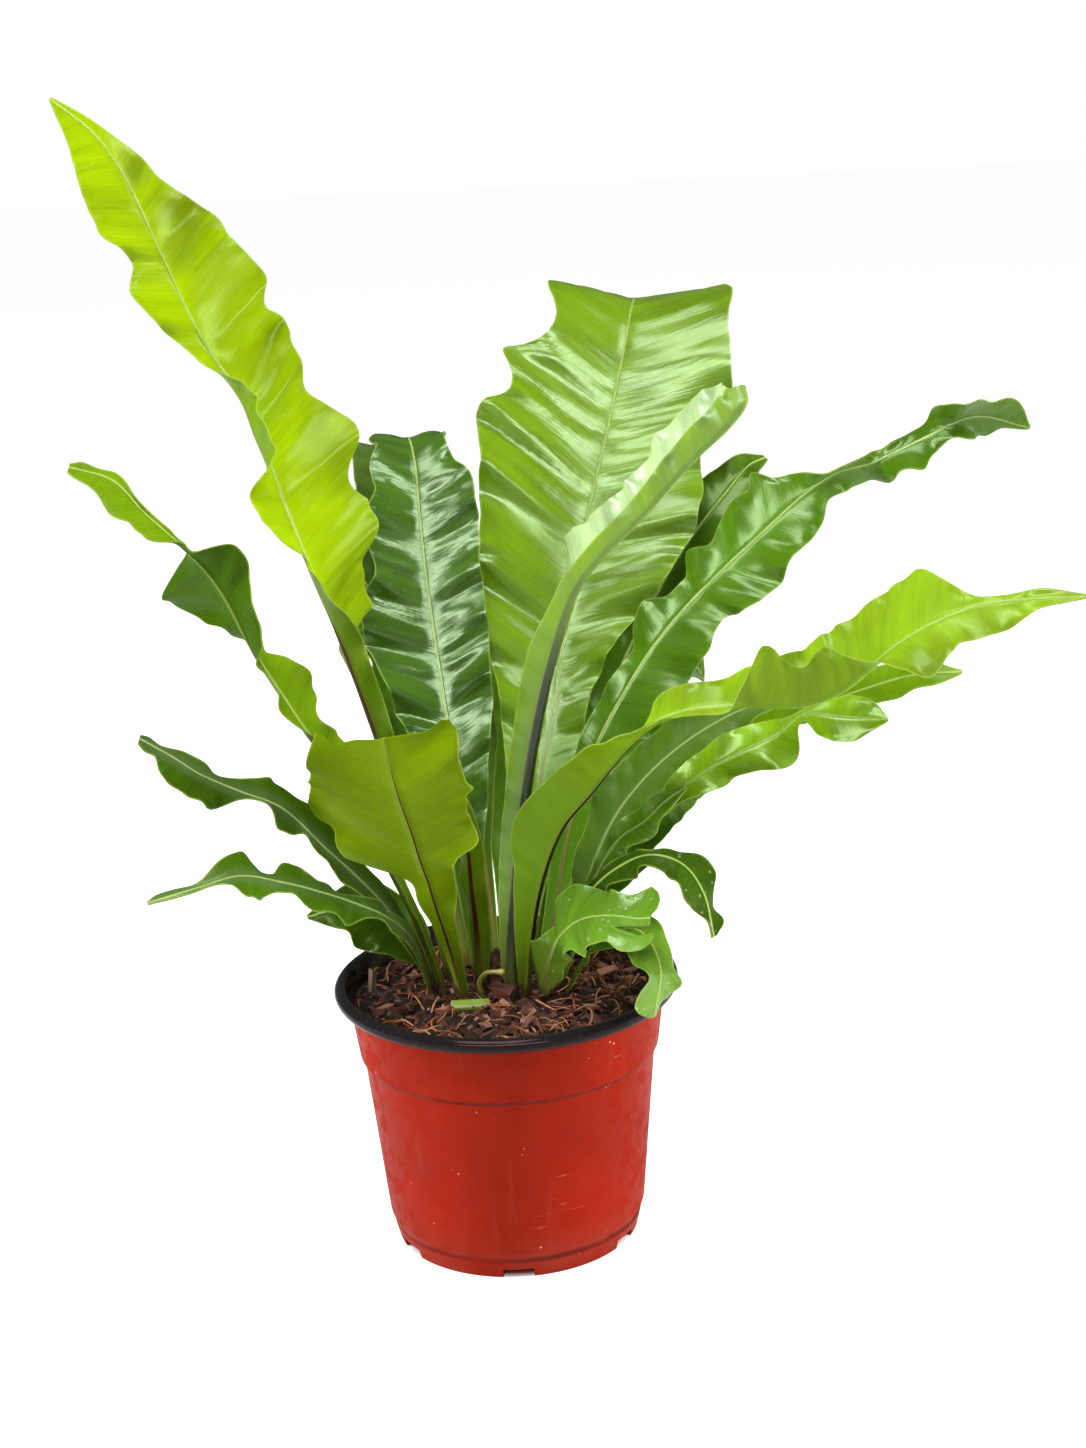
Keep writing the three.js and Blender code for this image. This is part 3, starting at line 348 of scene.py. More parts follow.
        roll=[[0, 40], [0.2, 75], [0.38, 75], [0.52, 42], [1, 40]], fold=-4, wave=[3, 34, 0.2],
        tip=[[-1, 7], [-0.8, 1], [-0.4, 0], [0, 3], [0.22, 2], [0.4, 20], [0.56, 2], [0.75, 0], [1, 8]],
    ),
    "frond_rim_droop": dict(
        lean=70,
        rib=[[20, -9, 104], [42, -25, 148], [59, -38, 159], [66, -48, 155], [69, -56, 146],
             [67, -62, 135], [65, -63, 127]],
        left=[[0.3, 6], [0.5, 10], [0.65, 11], [0.78, 12], [0.86, 15], [0.91, 12], [0.96, 8], [1, 3]],
        right=[[0.3, 6], [0.5, 9], [0.65, 9], [0.8, 15], [0.87, 11], [0.93, 16], [0.97, 13], [1, 4]],
        roll=14, fold=-4, wave=[2, 26, 0.2],
    ),
    "frond_rear_left": dict(
        lean=208,
        rib=[[-17, 20, 104], [-26, 48, 160], [-40, 90, 230], [-50, 132, 280], [-56, 170, 300],
             [-62, 205, 290]],
        both=[[0.25, 9], [0.5, 20], [0.75, 22], [0.92, 10], [1, 1]],
        roll=0, fold=10, wave=[4, 34, 0.2],
    ),
    "frond_rear_middle": dict(
        lean=172,
        rib=[[1, 25, 104], [4, 52, 160], [8, 100, 220], [14, 150, 260], [20, 195, 270], [24, 235, 255]],
        both=[[0.25, 10], [0.5, 24], [0.75, 24], [0.92, 10], [1, 1]],
        roll=0, fold=10, wave=[4, 36, 0.6],
    ),
    "frond_rear_right": dict(
        lean=142,
        rib=[[11, 25, 104], [28, 48, 155], [50, 88, 203], [74, 124, 228], [94, 154, 230],
             [108, 178, 215]],
        both=[[0.25, 9], [0.5, 19], [0.75, 20], [0.92, 9], [1, 1]],
        roll=0, fold=10, wave=[4, 32, 0.4],
    ),
}

# ---- Arithmetic on whole arrays ---------------------------------------------------------
def unit(vectors):
    """Vectors scaled to length one."""
    return vectors / np.maximum(np.linalg.norm(vectors, axis=-1, keepdims=True), 1e-9)


def smooth(x):
    """Smooth step: 0 below 0, 1 above 1, and 3x^2 - 2x^3 between."""
    x = np.clip(x, 0, 1)
    return x * x * (3 - 2 * x)


def fade_in(x, start, end):
    """Smooth step from 0 at start to 1 at end."""
    return smooth((x - start) / (end - start))


def keyed(keys, s):
    """Smooth curve through [place, value] keys: cubic pieces whose slopes average their
    neighbours', and are flat at a local peak or dip."""
    if isinstance(keys, (int, float)):
        return np.full(np.shape(s), float(keys))
    place, value = np.array(keys, float).T
    rise = np.diff(value) / np.diff(place)
    between = np.where(rise[:-1] * rise[1:] <= 0, 0, (rise[:-1] + rise[1:]) / 2)
    slope = np.concatenate([rise[:1], between, rise[-1:]])
    at = np.clip(s, place[0], place[-1])
    i = np.clip(np.searchsorted(place, at, side="right") - 1, 0, len(place) - 2)
    span = place[i + 1] - place[i]
    t = (at - place[i]) / span
    return (
        (2 * t**3 - 3 * t**2 + 1) * value[i] + (t**3 - 2 * t**2 + t) * span * slope[i]
        + (3 * t**2 - 2 * t**3) * value[i + 1] + (t**3 - t**2) * span * slope[i + 1]
    )


def smooth_path(points, steps=60):
    """Centripetal Catmull-Rom curve through the points, and its arc length at each step."""
    p = np.array(points, float)
    p = np.vstack([2 * p[0] - p[1], p, 2 * p[-1] - p[-2]])
    gap = np.sqrt(np.linalg.norm(np.diff(p, axis=0), axis=1))[:, None]
    t = np.linspace(0, 1, steps, endpoint=False)[:, None, None]
    a, b, c, d = p[:-3], p[1:-2], p[2:-1], p[3:]
    g0, g1, g2 = gap[:-2], gap[1:-1], gap[2:]
    leave = ((b - a) / g0 - (c - a) / (g0 + g1) + (c - b) / g1) * g1
    arrive = ((c - b) / g1 - (d - b) / (g1 + g2) + (d - c) / g2) * g1
    cubic, square = 2 * b - 2 * c + leave + arrive, 3 * c - 3 * b - 2 * leave - arrive
    curve = cubic * t**3 + square * t**2 + leave * t + b
    curve = np.vstack([curve.transpose(1, 0, 2).reshape(-1, 3), p[-2]])
    return curve, np.concatenate([[0], np.cumsum(np.linalg.norm(np.diff(curve, axis=0), axis=1))])


def along(path, run, distance):
    """Points of the path at the given arc lengths."""
    return np.stack([np.interp(distance, run, path[:, k]) for k in range(3)], -1)


def turned(vectors, axis, angle):
    """Vectors at right angles to the axis, turned about it."""
    return vectors * np.cos(angle)[..., None] + np.cross(axis, vectors) * np.sin(angle)[..., None]


# Large odd numbers that scatter the corners of the lattice, and what keeps them in 32 bits
SCATTER, WORD = (374761393, 668265263, 1440662683, 1274126177), 0xFFFFFFFF


def noise(points, size, seed):
    """Smooth random field from -1 to 1: random values on a lattice of the given size, blended
    between its corners with the smooth step."""
    q = np.asarray(points, float) / size
    base = np.floor(q).astype(np.int64)
    t = smooth(q - base)
    total = 0
    for corner in np.ndindex(2, 2, 2):
        x, y, z = np.moveaxis(base + np.array(corner), -1, 0)
        mixed = sum(part * odd for part, odd in zip((x, y, z, seed), SCATTER)) & WORD
        mixed = ((mixed ^ (mixed >> 13)) * SCATTER[3]) & WORD
        weight = np.prod(np.where(np.array(corner) == 1, t, 1 - t), axis=-1)
        total = total + weight * (((mixed ^ (mixed >> 16)) & 0xFFFF) / 32767.5 - 1)
    return total


# ---- Meshes -------------------------------------------------------------------------------
def add_mesh(name, points, faces, material, marks=None, crisp=60):
    """Object from points in millimetres, a list of face arrays and values kept per point.
    Edges sharper than crisp degrees stay sharp."""
    mesh = bpy.data.meshes.new(name)
    mesh.vertices.add(len(points))
    mesh.vertices.foreach_set("co", (np.asarray(points) * MM).astype(np.float32).ravel())
    corners = np.concatenate([f.ravel() for f in faces])
    sizes = np.concatenate([np.full(len(f), f.shape[1]) for f in faces])
    mesh.loops.add(len(corners))
    mesh.loops.foreach_set("vertex_index", corners.astype(np.int32))
    mesh.polygons.add(len(sizes))
    mesh.polygons.foreach_set("loop_start", (np.cumsum(sizes) - sizes).astype(np.int32))
    mesh.update(calc_edges=True)
    for key, values in (marks or {}).items():
        kind, field = ("FLOAT_VECTOR", "vector") if np.ndim(values) == 2 else ("FLOAT", "value")
        mark = mesh.attributes.new(key, kind, "POINT")
        mark.data.foreach_set(field, np.asarray(values, np.float32).ravel())
    mesh.shade_smooth()
    mesh.set_sharp_from_angle(angle=np.radians(crisp))
    mesh.materials.append(material)
    piece = bpy.data.objects.new(name, mesh)
    bpy.context.scene.collection.objects.link(piece)
    return piece


def set_in(piece, slot, *nodes):
    """The piece rides on the body and stands for the nodes, which it hides. slot is not used."""
    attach(piece, BODY)
    if nodes:
        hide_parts(*nodes)
    return piece


def ring_faces(rows, columns):
    """Quads between neighbouring rings, each ring joined to itself."""
    first = (np.arange(rows - 1) * columns)[:, None] + np.arange(columns)
    second = (np.arange(rows - 1) * columns)[:, None] + (np.arange(columns) + 1) % columns
    return np.stack([first, second, second + columns, first + columns], -1).reshape(-1, 4)


def end_fans(rings, columns):
    """Triangles that close the first and the last ring to the two points after them all."""
    k, last = np.arange(columns), (rings - 1) * columns
    first, final = np.full(columns, rings * columns), np.full(columns, rings * columns + 1)
    return np.concatenate([
        np.stack([first, (k + 1) % columns, k], -1),
        np.stack([final, last + k, last + (k + 1) % columns], -1),
    ])


def lofts(centre, across, up, half_width, half_thick, sides):
    """Many closed strips at once. centre, across and up are (strips, stations, 3), and each
    section is an ellipse of the given half sizes. Both ends close in a point. Returns the
    points and the faces."""
    count, stations = centre.shape[:2]
    angle = 2 * np.pi * np.arange(sides) / sides
    ring = (
        centre[:, :, None]
        + across[:, :, None] * (half_width[..., None] * np.cos(angle))[..., None]
        + up[:, :, None] * (half_thick[..., None] * np.sin(angle))[..., None]
    )
    points = np.concatenate([ring.reshape(count, -1, 3), centre[:, :1], centre[:, -1:]], 1)
    quads, fans = ring_faces(stations, sides), end_fans(stations, sides)
    shift = (np.arange(count) * points.shape[1])[:, None, None]
    return points.reshape(-1, 3), [(quads + shift).reshape(-1, 4), (fans + shift).reshape(-1, 3)]


def path_frame(path, upright=(0, 0, 1)):
    """Tangent, side and up directions of paths (..., stations, 3), kept level with upright."""
    tangent = unit(np.gradient(path, axis=-2))
    across = unit(np.cross(tangent, np.broadcast_to(np.array(upright, float), path.shape)))
    return tangent, across, np.cross(across, tangent)


# ---- Materials ------------------------------------------------------------------------------
class Finish:
    """Short way to write a material's nodes. A socket, a number or a colour serves as input."""

    def __init__(self, name, **shader):
        self.material = bpy.data.materials.new(name)
        self.material.use_nodes = True
        self.tree = self.material.node_tree
        self.shader = self.tree.nodes["Principled BSDF"]
        for key, value in shader.items():
            self.set(self.shader.inputs[key.replace("_", " ").title().replace("Ior", "IOR")], value)

    def set(self, socket, value):
        if isinstance(value, bpy.types.NodeSocket):
            self.tree.links.new(value, socket)
        elif isinstance(value, (tuple, list)) and len(value) == 3 and socket.type == "RGBA":
            socket.default_value = (*value, 1)
        else:
            socket.default_value = value

    def node(self, kind, inputs=(), output=0, **settings):
        made = self.tree.nodes.new(kind)
        for key, value in settings.items():
            setattr(made, key, value)
        for key, value in dict(inputs).items():
            self.set(made.inputs[key], value)
        return made.outputs[output]

    def math(self, operation, a, b=0.0, c=0.0):
        return self.node("ShaderNodeMath", {0: a, 1: b, 2: c}, operation=operation)

    def times(self, a, b):
        return self.math("MULTIPLY", a, b)

    def plus(self, a, b):
        return self.math("ADD", a, b)

    def minus(self, a, b):
        return self.math("SUBTRACT", a, b)

    def step(self, value, low, high):
        """Smooth step of the value from 0 at low to 1 at high. Low may be above high."""
        inputs = {"Value": value, "From Min": low, "From Max": high}
        return self.node("ShaderNodeMapRange", inputs, interpolation_type="SMOOTHSTEP")

    def mix(self, factor, a, b, blend="MIX"):
        made = self.tree.nodes.new("ShaderNodeMix")
        made.data_type, made.blend_type = "RGBA", blend
        for socket, value in ((made.inputs[0], factor), (made.inputs[6], a), (made.inputs[7], b)):
            self.set(socket, value)
        return made.outputs[2]

    def noise(self, vector, scale, detail=2.0, roughness=0.5):
        inputs = {"Vector": vector, "Scale": scale, "Detail": detail, "Roughness": roughness}
        return self.node("ShaderNodeTexNoise", inputs)

    def cells(self, vector, scale, output="Distance"):
        return self.node("ShaderNodeTexVoronoi", {"Vector": vector, "Scale": scale}, output)

    def combine(self, x, y, z):
        return self.node("ShaderNodeCombineXYZ", {0: x, 1: y, 2: z})

    def stretched(self, vector, scales):
        """The vector with each of its parts times a scale of its own."""
        return self.node("ShaderNodeVectorMath", {0: vector, 1: scales}, operation="MULTIPLY")

    def split(self, vector):
        made = self.tree.nodes.new("ShaderNodeSeparateXYZ")
        self.set(made.inputs[0], vector)
        return made.outputs

    def mark(self, name, output="Fac"):
        return self.node("ShaderNodeAttribute", output=output, attribute_name=name)

    def place(self):
        """Object coordinates, in metres."""
        return self.node("ShaderNodeTexCoord", output="Object")

    def bump(self, height, distance, strength=1.0, normal=None):
        inputs = {"Height": height, "Distance": distance, "Strength": strength}
        if normal:
            inputs["Normal"] = normal
        return self.node("ShaderNodeBump", inputs)

    def done(self, **sockets):
        for key, value in sockets.items():
            self.set(self.shader.inputs[key.replace("_", " ").title()], value)
        return self.material


def dimmed(colour, share):
    """The colour with each part times the share."""
    return tuple(share * part for part in colour)


# Colour of each frond, linear: upper face, under face and the tone of its lower reaches.
# dark is how far up the rib stays dark underneath, band how wide that is, and black gives it
# the deepest tone. double draws the upper rib as two lines. shine is the strength of the
# gloss, rough its roughness. streak is how far tone and wrinkles follow the side veins.
# bloom is the grey cast beside the rib, wet the share of small droplets.
LOOKS = {
    "frond_tall_left": dict(
        upper=(0.36, 0.55, 0.001), under=(0.17, 0.31, 0.003), low=(0.07, 0.16, 0.003), dark=0.62,
        shine=0.3,
    ),
    "frond_thin_left": dict(
        upper=(0.2, 0.36, 0.004), under=(0.05, 0.125, 0.001), low=(0.1, 0.2, 0.004), dark=0.6,
        shine=0.2, rough=0.4,
    ),
    "frond_left_upper": dict(
        upper=(0.06, 0.14, 0.003), under=(0.08, 0.17, 0.006), low=(0.13, 0.24, 0.012), dark=0.3,
        bloom=0.3, shine=0.25, rough=0.42,
    ),
    "frond_left_low": dict(
        upper=(0.08, 0.19, 0.005), under=(0.12, 0.25, 0.01), low=(0.14, 0.26, 0.012), dark=0.3,
        bloom=0.3,
    ),
    "frond_left_hidden": dict(
        upper=(0.06, 0.14, 0.004), under=(0.07, 0.15, 0.006), low=(0.1, 0.19, 0.01), dark=0.3,
    ),
    "frond_front": dict(
        upper=(0.18, 0.31, 0.001), under=(0.19, 0.31, 0.001), low=(0.16, 0.3, 0.003), dark=0.95,
        shine=0.12, band=0.6,
    ),
    "frond_front_inner": dict(
        upper=(0.14, 0.26, 0.004), under=(0.14, 0.25, 0.002), low=(0.12, 0.22, 0.004), dark=0.95,
        shine=0.15,
    ),
    "frond_centre_dark": dict(
        upper=(0.075, 0.18, 0.012), under=(0.06, 0.14, 0.004), low=(0.09, 0.2, 0.008), dark=0.4,
        shine=0.8, streak=1,
    ),
    "frond_centre_behind": dict(
        upper=(0.12, 0.22, 0.03), under=(0.1, 0.2, 0.01), low=(0.08, 0.17, 0.01), dark=0.4,
    ),
    "frond_centre_big": dict(
        upper=(0.19, 0.35, 0.004), under=(0.13, 0.25, 0.003), low=(0.17, 0.33, 0.008), dark=0.5,
        double=1, shine=0.8, streak=0.6,
    ),
    # The rolled frond's upper face is lightened nearly to white: a painted highlight on the inner face
    # of its fold
    "frond_rolled": dict(
        upper=(0.58, 0.8, 0.36), under=(0.22, 0.4, 0.001), low=(0.22, 0.41, 0.002), dark=0.62, band=2.6,
        shine=1, streak=0.3, black=1,
    ),
    "frond_black_rib": dict(
        upper=(0.31, 0.52, 0.012), under=(0.23, 0.41, 0.001), low=(0.22, 0.42, 0.002), dark=0.6,
        black=1, shine=0.4, band=0.75,
    ),
    "frond_right_wide": dict(
        upper=(0.12, 0.29, 0.004), under=(0.12, 0.26, 0.008), low=(0.12, 0.28, 0.012), dark=0.4,
        shine=0.65,
    ),
    "frond_right_behind": dict(
        upper=(0.1, 0.22, 0.008), under=(0.07, 0.16, 0.005), low=(0.05, 0.14, 0.004), dark=0.4,
        shine=0.5,
    ),
    "frond_right_low": dict(
        upper=(0.11, 0.24, 0.012), under=(0.1, 0.22, 0.008), low=(0.13, 0.28, 0.014), dark=0.4,
        bloom=0.15, rough=0.42, shine=0.5,
    ),
    "frond_right_chain": dict(
        upper=(0.36, 0.68, 0.006), under=(0.13, 0.25, 0.004), low=(0.13, 0.27, 0.008), dark=0.4,
        wet=0.5, shine=0.6,
    ),
    "frond_right_inner": dict(
        upper=(0.22, 0.42, 0.006), under=(0.14, 0.28, 0.003), low=(0.12, 0.26, 0.008), dark=0.4,
    ),
    "frond_right_small": dict(
        upper=(0.17, 0.36, 0.014), under=(0.12, 0.26, 0.008), low=(0.14, 0.28, 0.01), dark=0.3, wet=0.5,
        shine=0.5,
    ),
    "frond_right_droop": dict(
        upper=(0.05, 0.12, 0.004), under=(0.09, 0.2, 0.008), low=(0.11, 0.24, 0.012), dark=0.4, wet=0.6,
        shine=0.2, rough=0.45,
    ),
    "frond_forked": dict(
        upper=(0.17, 0.37, 0.02), under=(0.14, 0.3, 0.01), low=(0.2, 0.38, 0.02), dark=0.4, wet=1,
        shine=0.8, streak=0.3,
    ),
    "frond_rim_droop": dict(
        upper=(0.18, 0.38, 0.02), under=(0.15, 0.32, 0.01), low=(0.2, 0.38, 0.02), dark=0.4, wet=1,
        shine=0.6, streak=0.3,
    ),
    "frond_rear_left": dict(
        upper=(0.11, 0.24, 0.012), under=(0.1, 0.21, 0.006), low=(0.09, 0.19, 0.008), dark=0.6,
    ),
    "frond_rear_middle": dict(
        upper=(0.12, 0.26, 0.012), under=(0.11, 0.23, 0.006), low=(0.1, 0.2, 0.008), dark=0.6,
    ),
    "frond_rear_right": dict(
        upper=(0.11, 0.25, 0.012), under=(0.1, 0.22, 0.006), low=(0.1, 0.2, 0.008), dark=0.6,
    ),
}

RIB_LIGHT = (0.50, 0.66, 0.17)
RIB_PINK = (0.27, 0.17, 0.07)
RIB_PALE = (0.36, 0.46, 0.07)
RIB_BROWN = (0.055, 0.016, 0.006)
RIB_BLACK = (0.012, 0.007, 0.003)
RIB_TAN = (0.24, 0.15, 0.03)
# Pale margin tone, partly the edge's own colour and partly painted glow of light through the thin edge
EDGE_PALE_AND_GLOW = (0.50, 0.64, 0.12)
# Pale tone of dust and droplets: dust keeps its own colour, on droplets it is a painted glint
DUST_AND_DROP_GLINT = (0.62, 0.72, 0.45)
BLOOM = (0.30, 0.33, 0.27)
STALK_GREEN = (0.23, 0.30, 0.03)
STALK_BROWN = (0.10, 0.045, 0.02)

# Turns of a blade's patterns in a millimetre, along the vein coordinate and out from the rib
VEINS, STREAKS, WRINKLES = (1.05, 0.045, 1), (0.16, 0.02, 1), (0.33, 0.06, 1)
HALVES_APART, FRONDS_APART = 31.7, 3.1  # so that no two halves or fronds share a pattern


def leaf_material(name, look, gloss, seed):
    """Blade colour on a vein coordinate c = l - slant d, so that streaks, fine veins and
    folds all run from the rib out towards the tip."""
    shine, follow, band = look.get("shine", 0.3), look.get("streak", 0.2), look.get("band", 1.0)
    f = Finish(
        name, specular_ior_level=shine, specular_tint=(0.75, 1, 0.15 + 0.6 * shine, 1),
        coat_weight=0.15 * shine, coat_roughness=0.22,
    )
    l, signed, under = f.split(f.mark("leaf", "Vector"))
    s, _, width = f.split(f.mark("blade", "Vector"))
    d = f.math("ABSOLUTE", signed)
    c = f.minus(l, f.times(d, VEIN_SLANT))
    row = f.plus(f.times(f.math("GREATER_THAN", signed, 0.0), HALVES_APART), seed * FRONDS_APART)
    leafwise = f.combine(c, d, row)
    veins = f.noise(f.stretched(leafwise, VEINS), 1.0, 3)
    streaks = f.noise(f.stretched(leafwise, STREAKS), 1.0, 2)
    wrinkles = f.noise(f.stretched(leafwise, WRINKLES), 1.0, 4, 0.6)
    blotch = f.noise(f.place(), 26.0, 3)
    grain = f.noise(f.place(), 1500.0, 1)

    # Both faces: their own tone above the lower reaches
    streaky = 0.2 + 0.5 * follow
    tone = f.step(f.plus(f.times(streaks, streaky), f.times(blotch, 1 - streaky)), 0.3, 0.62)
    rise = f.step(s, 0.08, 0.5)
    top = f.mix(rise, look["low"], f.mix(tone, dimmed(look["upper"], 0.62), look["upper"]))
    below = f.mix(rise, look["low"], f.mix(tone, dimmed(look["under"], 0.78), look["under"]))

    # Upper face: the light line of the rib, and the grey cast beside it
    rib = f.node("ShaderNodeMapRange", {"Value": s, "From Max": 0.77, "To Min": 1.25, "To Max": 0.55})
    out = f.math("DIVIDE", d, rib)
    line = f.step(out, 1.05, 0.55)
    if look.get("double"):
        line = f.times(line, f.plus(f.times(f.step(out, 0.12, 0.4), 0.75), 0.25))
    top = f.mix(f.times(line, 0.85), top, f.mix(f.step(s, 0.15, 0.45), RIB_PINK, RIB_LIGHT))
    grey = f.times(f.step(d, 7.0, 0.5), look.get("bloom", 0.0))
    top = f.mix(f.times(grey, blotch), top, BLOOM)

    # Under face: the dark rib with a tan halo
    darkness = f.step(s, look["dark"] + 0.12, look["dark"] - 0.15)
    core = f.times(f.step(out, 1.35 * band, 1.05 * band), darkness)
    halo = f.times(f.step(out, 2.6 * band, 1.2 * band), f.times(darkness, 0.3))
    below = f.mix(f.times(f.step(out, 1.3, 0.7), 0.5), below, RIB_PALE)
    below = f.mix(halo, below, RIB_TAN)
    below = f.mix(core, below, RIB_BLACK if look.get("black") else RIB_BROWN)

    # Fine veins, margin, stalk, droplets and dust. The pale margin is partly painted glow of light
    # through the thin edge, and the droplets' pale tone is a painted glint.
    colour = f.mix(f.step(under, 0.4, 0.6), top, below)
    fine = f.plus(f.times(veins, 0.36), 0.82)
    colour = f.mix(1.0, colour, f.combine(fine, fine, fine), "MULTIPLY")
    margin = f.step(f.minus(width, d), 0.9, 0.2)
    colour = f.mix(f.times(margin, 0.4), colour, EDGE_PALE_AND_GLOW)
    colour = f.mix(f.times(f.step(l, 52.0, 26.0), 0.45), colour, STALK_GREEN)
    colour = f.mix(f.times(f.step(l, 27.0, 19.0), 0.7), colour, STALK_BROWN)
    drops = f.times(f.step(f.cells(f.place(), 260.0), 0.26, 0.12), look.get("wet", 0.0))
    drops = f.times(drops, f.step(f.noise(f.place(), 60.0, 1), 0.52, 0.6))
    dust = f.times(f.step(f.cells(f.place(), 420.0), 0.12, 0.05), 0.35)
    colour = f.mix(f.math("MAXIMUM", f.times(drops, 0.5), dust), colour, DUST_AND_DROP_GLINT)

    rough = f.plus(look.get("rough", gloss - 0.06 * follow), f.times(under, 0.14))
    rough = f.plus(rough, f.times(f.minus(streaks, 0.5), 0.12))
    rough = f.minus(rough, f.times(drops, 0.2))
    relief = f.plus(f.times(veins, 0.35), f.times(drops, 0.6))
    relief = f.plus(relief, f.times(wrinkles, 0.35 + 0.8 * follow))
    normal = f.bump(relief, 0.0005, 0.6)
    return f.done(base_color=colour, roughness=rough, normal=f.bump(grain, 0.00006, 0.35, normal))


# ---- Fronds ---------------------------------------------------------------------------------
def rib_frame(spec, s):
    """Rib points with the tangent, the way across and the upward normal. Up is square to the
    rib and to the level direction across the frond's lean, then turned by roll."""
    path, run = smooth_path(spec["rib"])
    ahead = (0, -0.004, 0.004)
    point, before, after = (along(path, run, np.clip(s + e, 0, 1) * run[-1]) for e in ahead)
    tangent = unit(after - before)
    lean = np.radians(spec["lean"])
    level = np.broadcast_to([-np.cos(lean), -np.sin(lean), 0], tangent.shape)
    up = turned(unit(np.cross(level, tangent)), tangent, np.radians(keyed(spec["roll"], s)))
    return point, np.cross(tangent, up), up, run[-1]


def ruffle(wave, l):
    """Height of the margin's ruffles at arc length l: a skewed sine whose pace drifts."""
    height, length, start = wave
    turn = 2 * np.pi * (l / length + start)
    drift = turn + 0.7 * np.sin(0.37 * turn + 5 * start)
    return height * np.sin(drift + 0.45 * np.sin(drift))


def folds(c, spacing, seed):
    """Rounded folds between side veins, -1 to 1: a sine of the vein coordinate whose pace and
    height wander."""
    phase = 2 * np.pi * c / spacing + 1.3 * np.sin(c / 9.7 + seed) + 0.8 * np.sin(c / 4.1 + 2 * seed)
    return np.sin(phase) * (0.75 + 0.25 * np.sin(c / 17.3 + 3 * seed))


def half_blade(spec, side, s, length, seed):
    """One half of the blade in its own section plane. The fold angle grows smoothly over the
    crease, and the section is the running sum of its cosine and sine. Ruffles, folds and
    frill lift it along the normal; all run along the vein coordinate. Returns distance out,
    height, distance along the surface and half width, each (stations, columns)."""
    name = "left" if side < 0 else "right"
    l = s * length
    stalk = STALK["half"] + spec.get("spread", STALK["spread"]) * np.maximum(0, l - STALK["buried"])
    width = np.minimum(keyed([FOOT, *spec.get(name, spec.get("both"))], s), stalk)
    stray = noise(np.stack([l, 0 * l, 0 * l + side], -1), SCALLOP["spacing"], seed)
    width = (width + SCALLOP["height"] * stray * fade_in(width, *SCALLOP["wide"]))[:, None]
    rib = np.minimum(tapered("half", s), RIB_SHARE * width)
    spread = np.linspace(0, 1, BLADE_COLUMNS + 1)[1:] ** CROWDING
    near = rib * RIB_COLUMNS
    d = np.hstack([near, near[:, -1:] + (width - near[:, -1:]) * spread])
    angle = np.radians(keyed(spec.get("fold_" + name, spec.get("fold", 0)), s))[:, None]
    bend = angle * smooth(d / np.minimum(CREASE, 0.5 * width))
    pace = np.diff(d, axis=1, prepend=0)
    middle = (bend + np.hstack([bend[:, :1], bend[:, :-1]])) / 2
    out, rise = np.cumsum(np.cos(middle) * pace, 1), np.cumsum(np.sin(middle) * pace, 1)

    l, v = l[:, None], d / width
    swell = keyed(spec.get("ruffle", RUFFLE), s)[:, None]
    wave = ruffle(spec.get("wave_" + name, spec["wave"]), l + VEIN_SLANT * (width - d))
    lift = swell * np.minimum(1, width / RUFFLE_ROOM) * wave * v ** spec.get("spill", SPILL)
    body = fade_in(d, *RIDGE["out"]) * fade_in(width, *RIDGE["wide"])
    ridges = folds(l - VEIN_SLANT * d, RIDGE["spacing"], seed + side)
    lift += RIDGE["height"] * spec.get("ridge", 1) * body * ridges
    edge = fade_in(v, FRILL["band"], 1) * fade_in(width, *FRILL["wide"]) * swell
    frills = folds(l, FRILL["spacing"], 2.3 * seed - side)
    lift += FRILL["height"] * spec.get("frill", 1) * edge * frills
    return out - lift * np.sin(bend), rise + lift * np.cos(bend), d, width


def drawn_back(grid, s, share):
    """Columns of the grid cut short by their share of the length: each column is read again
    at places that fall behind over the last reach of the frond."""
    place = s[:, None] - share * fade_in(s[:, None], 1 - DRAWN_REACH, 1)
    read = [[np.interp(place[:, j], s, grid[:, j, k]) for j in range(len(share))] for k in range(3)]
    return np.stack(read).T


def tapered(part, s):
    """The rib's half width or depth: a straight run from its base to its tip value."""
    base, tip, sooner = RIB[part]
    return (base + (tip - base) * np.minimum(sooner * s, 1))[:, None]


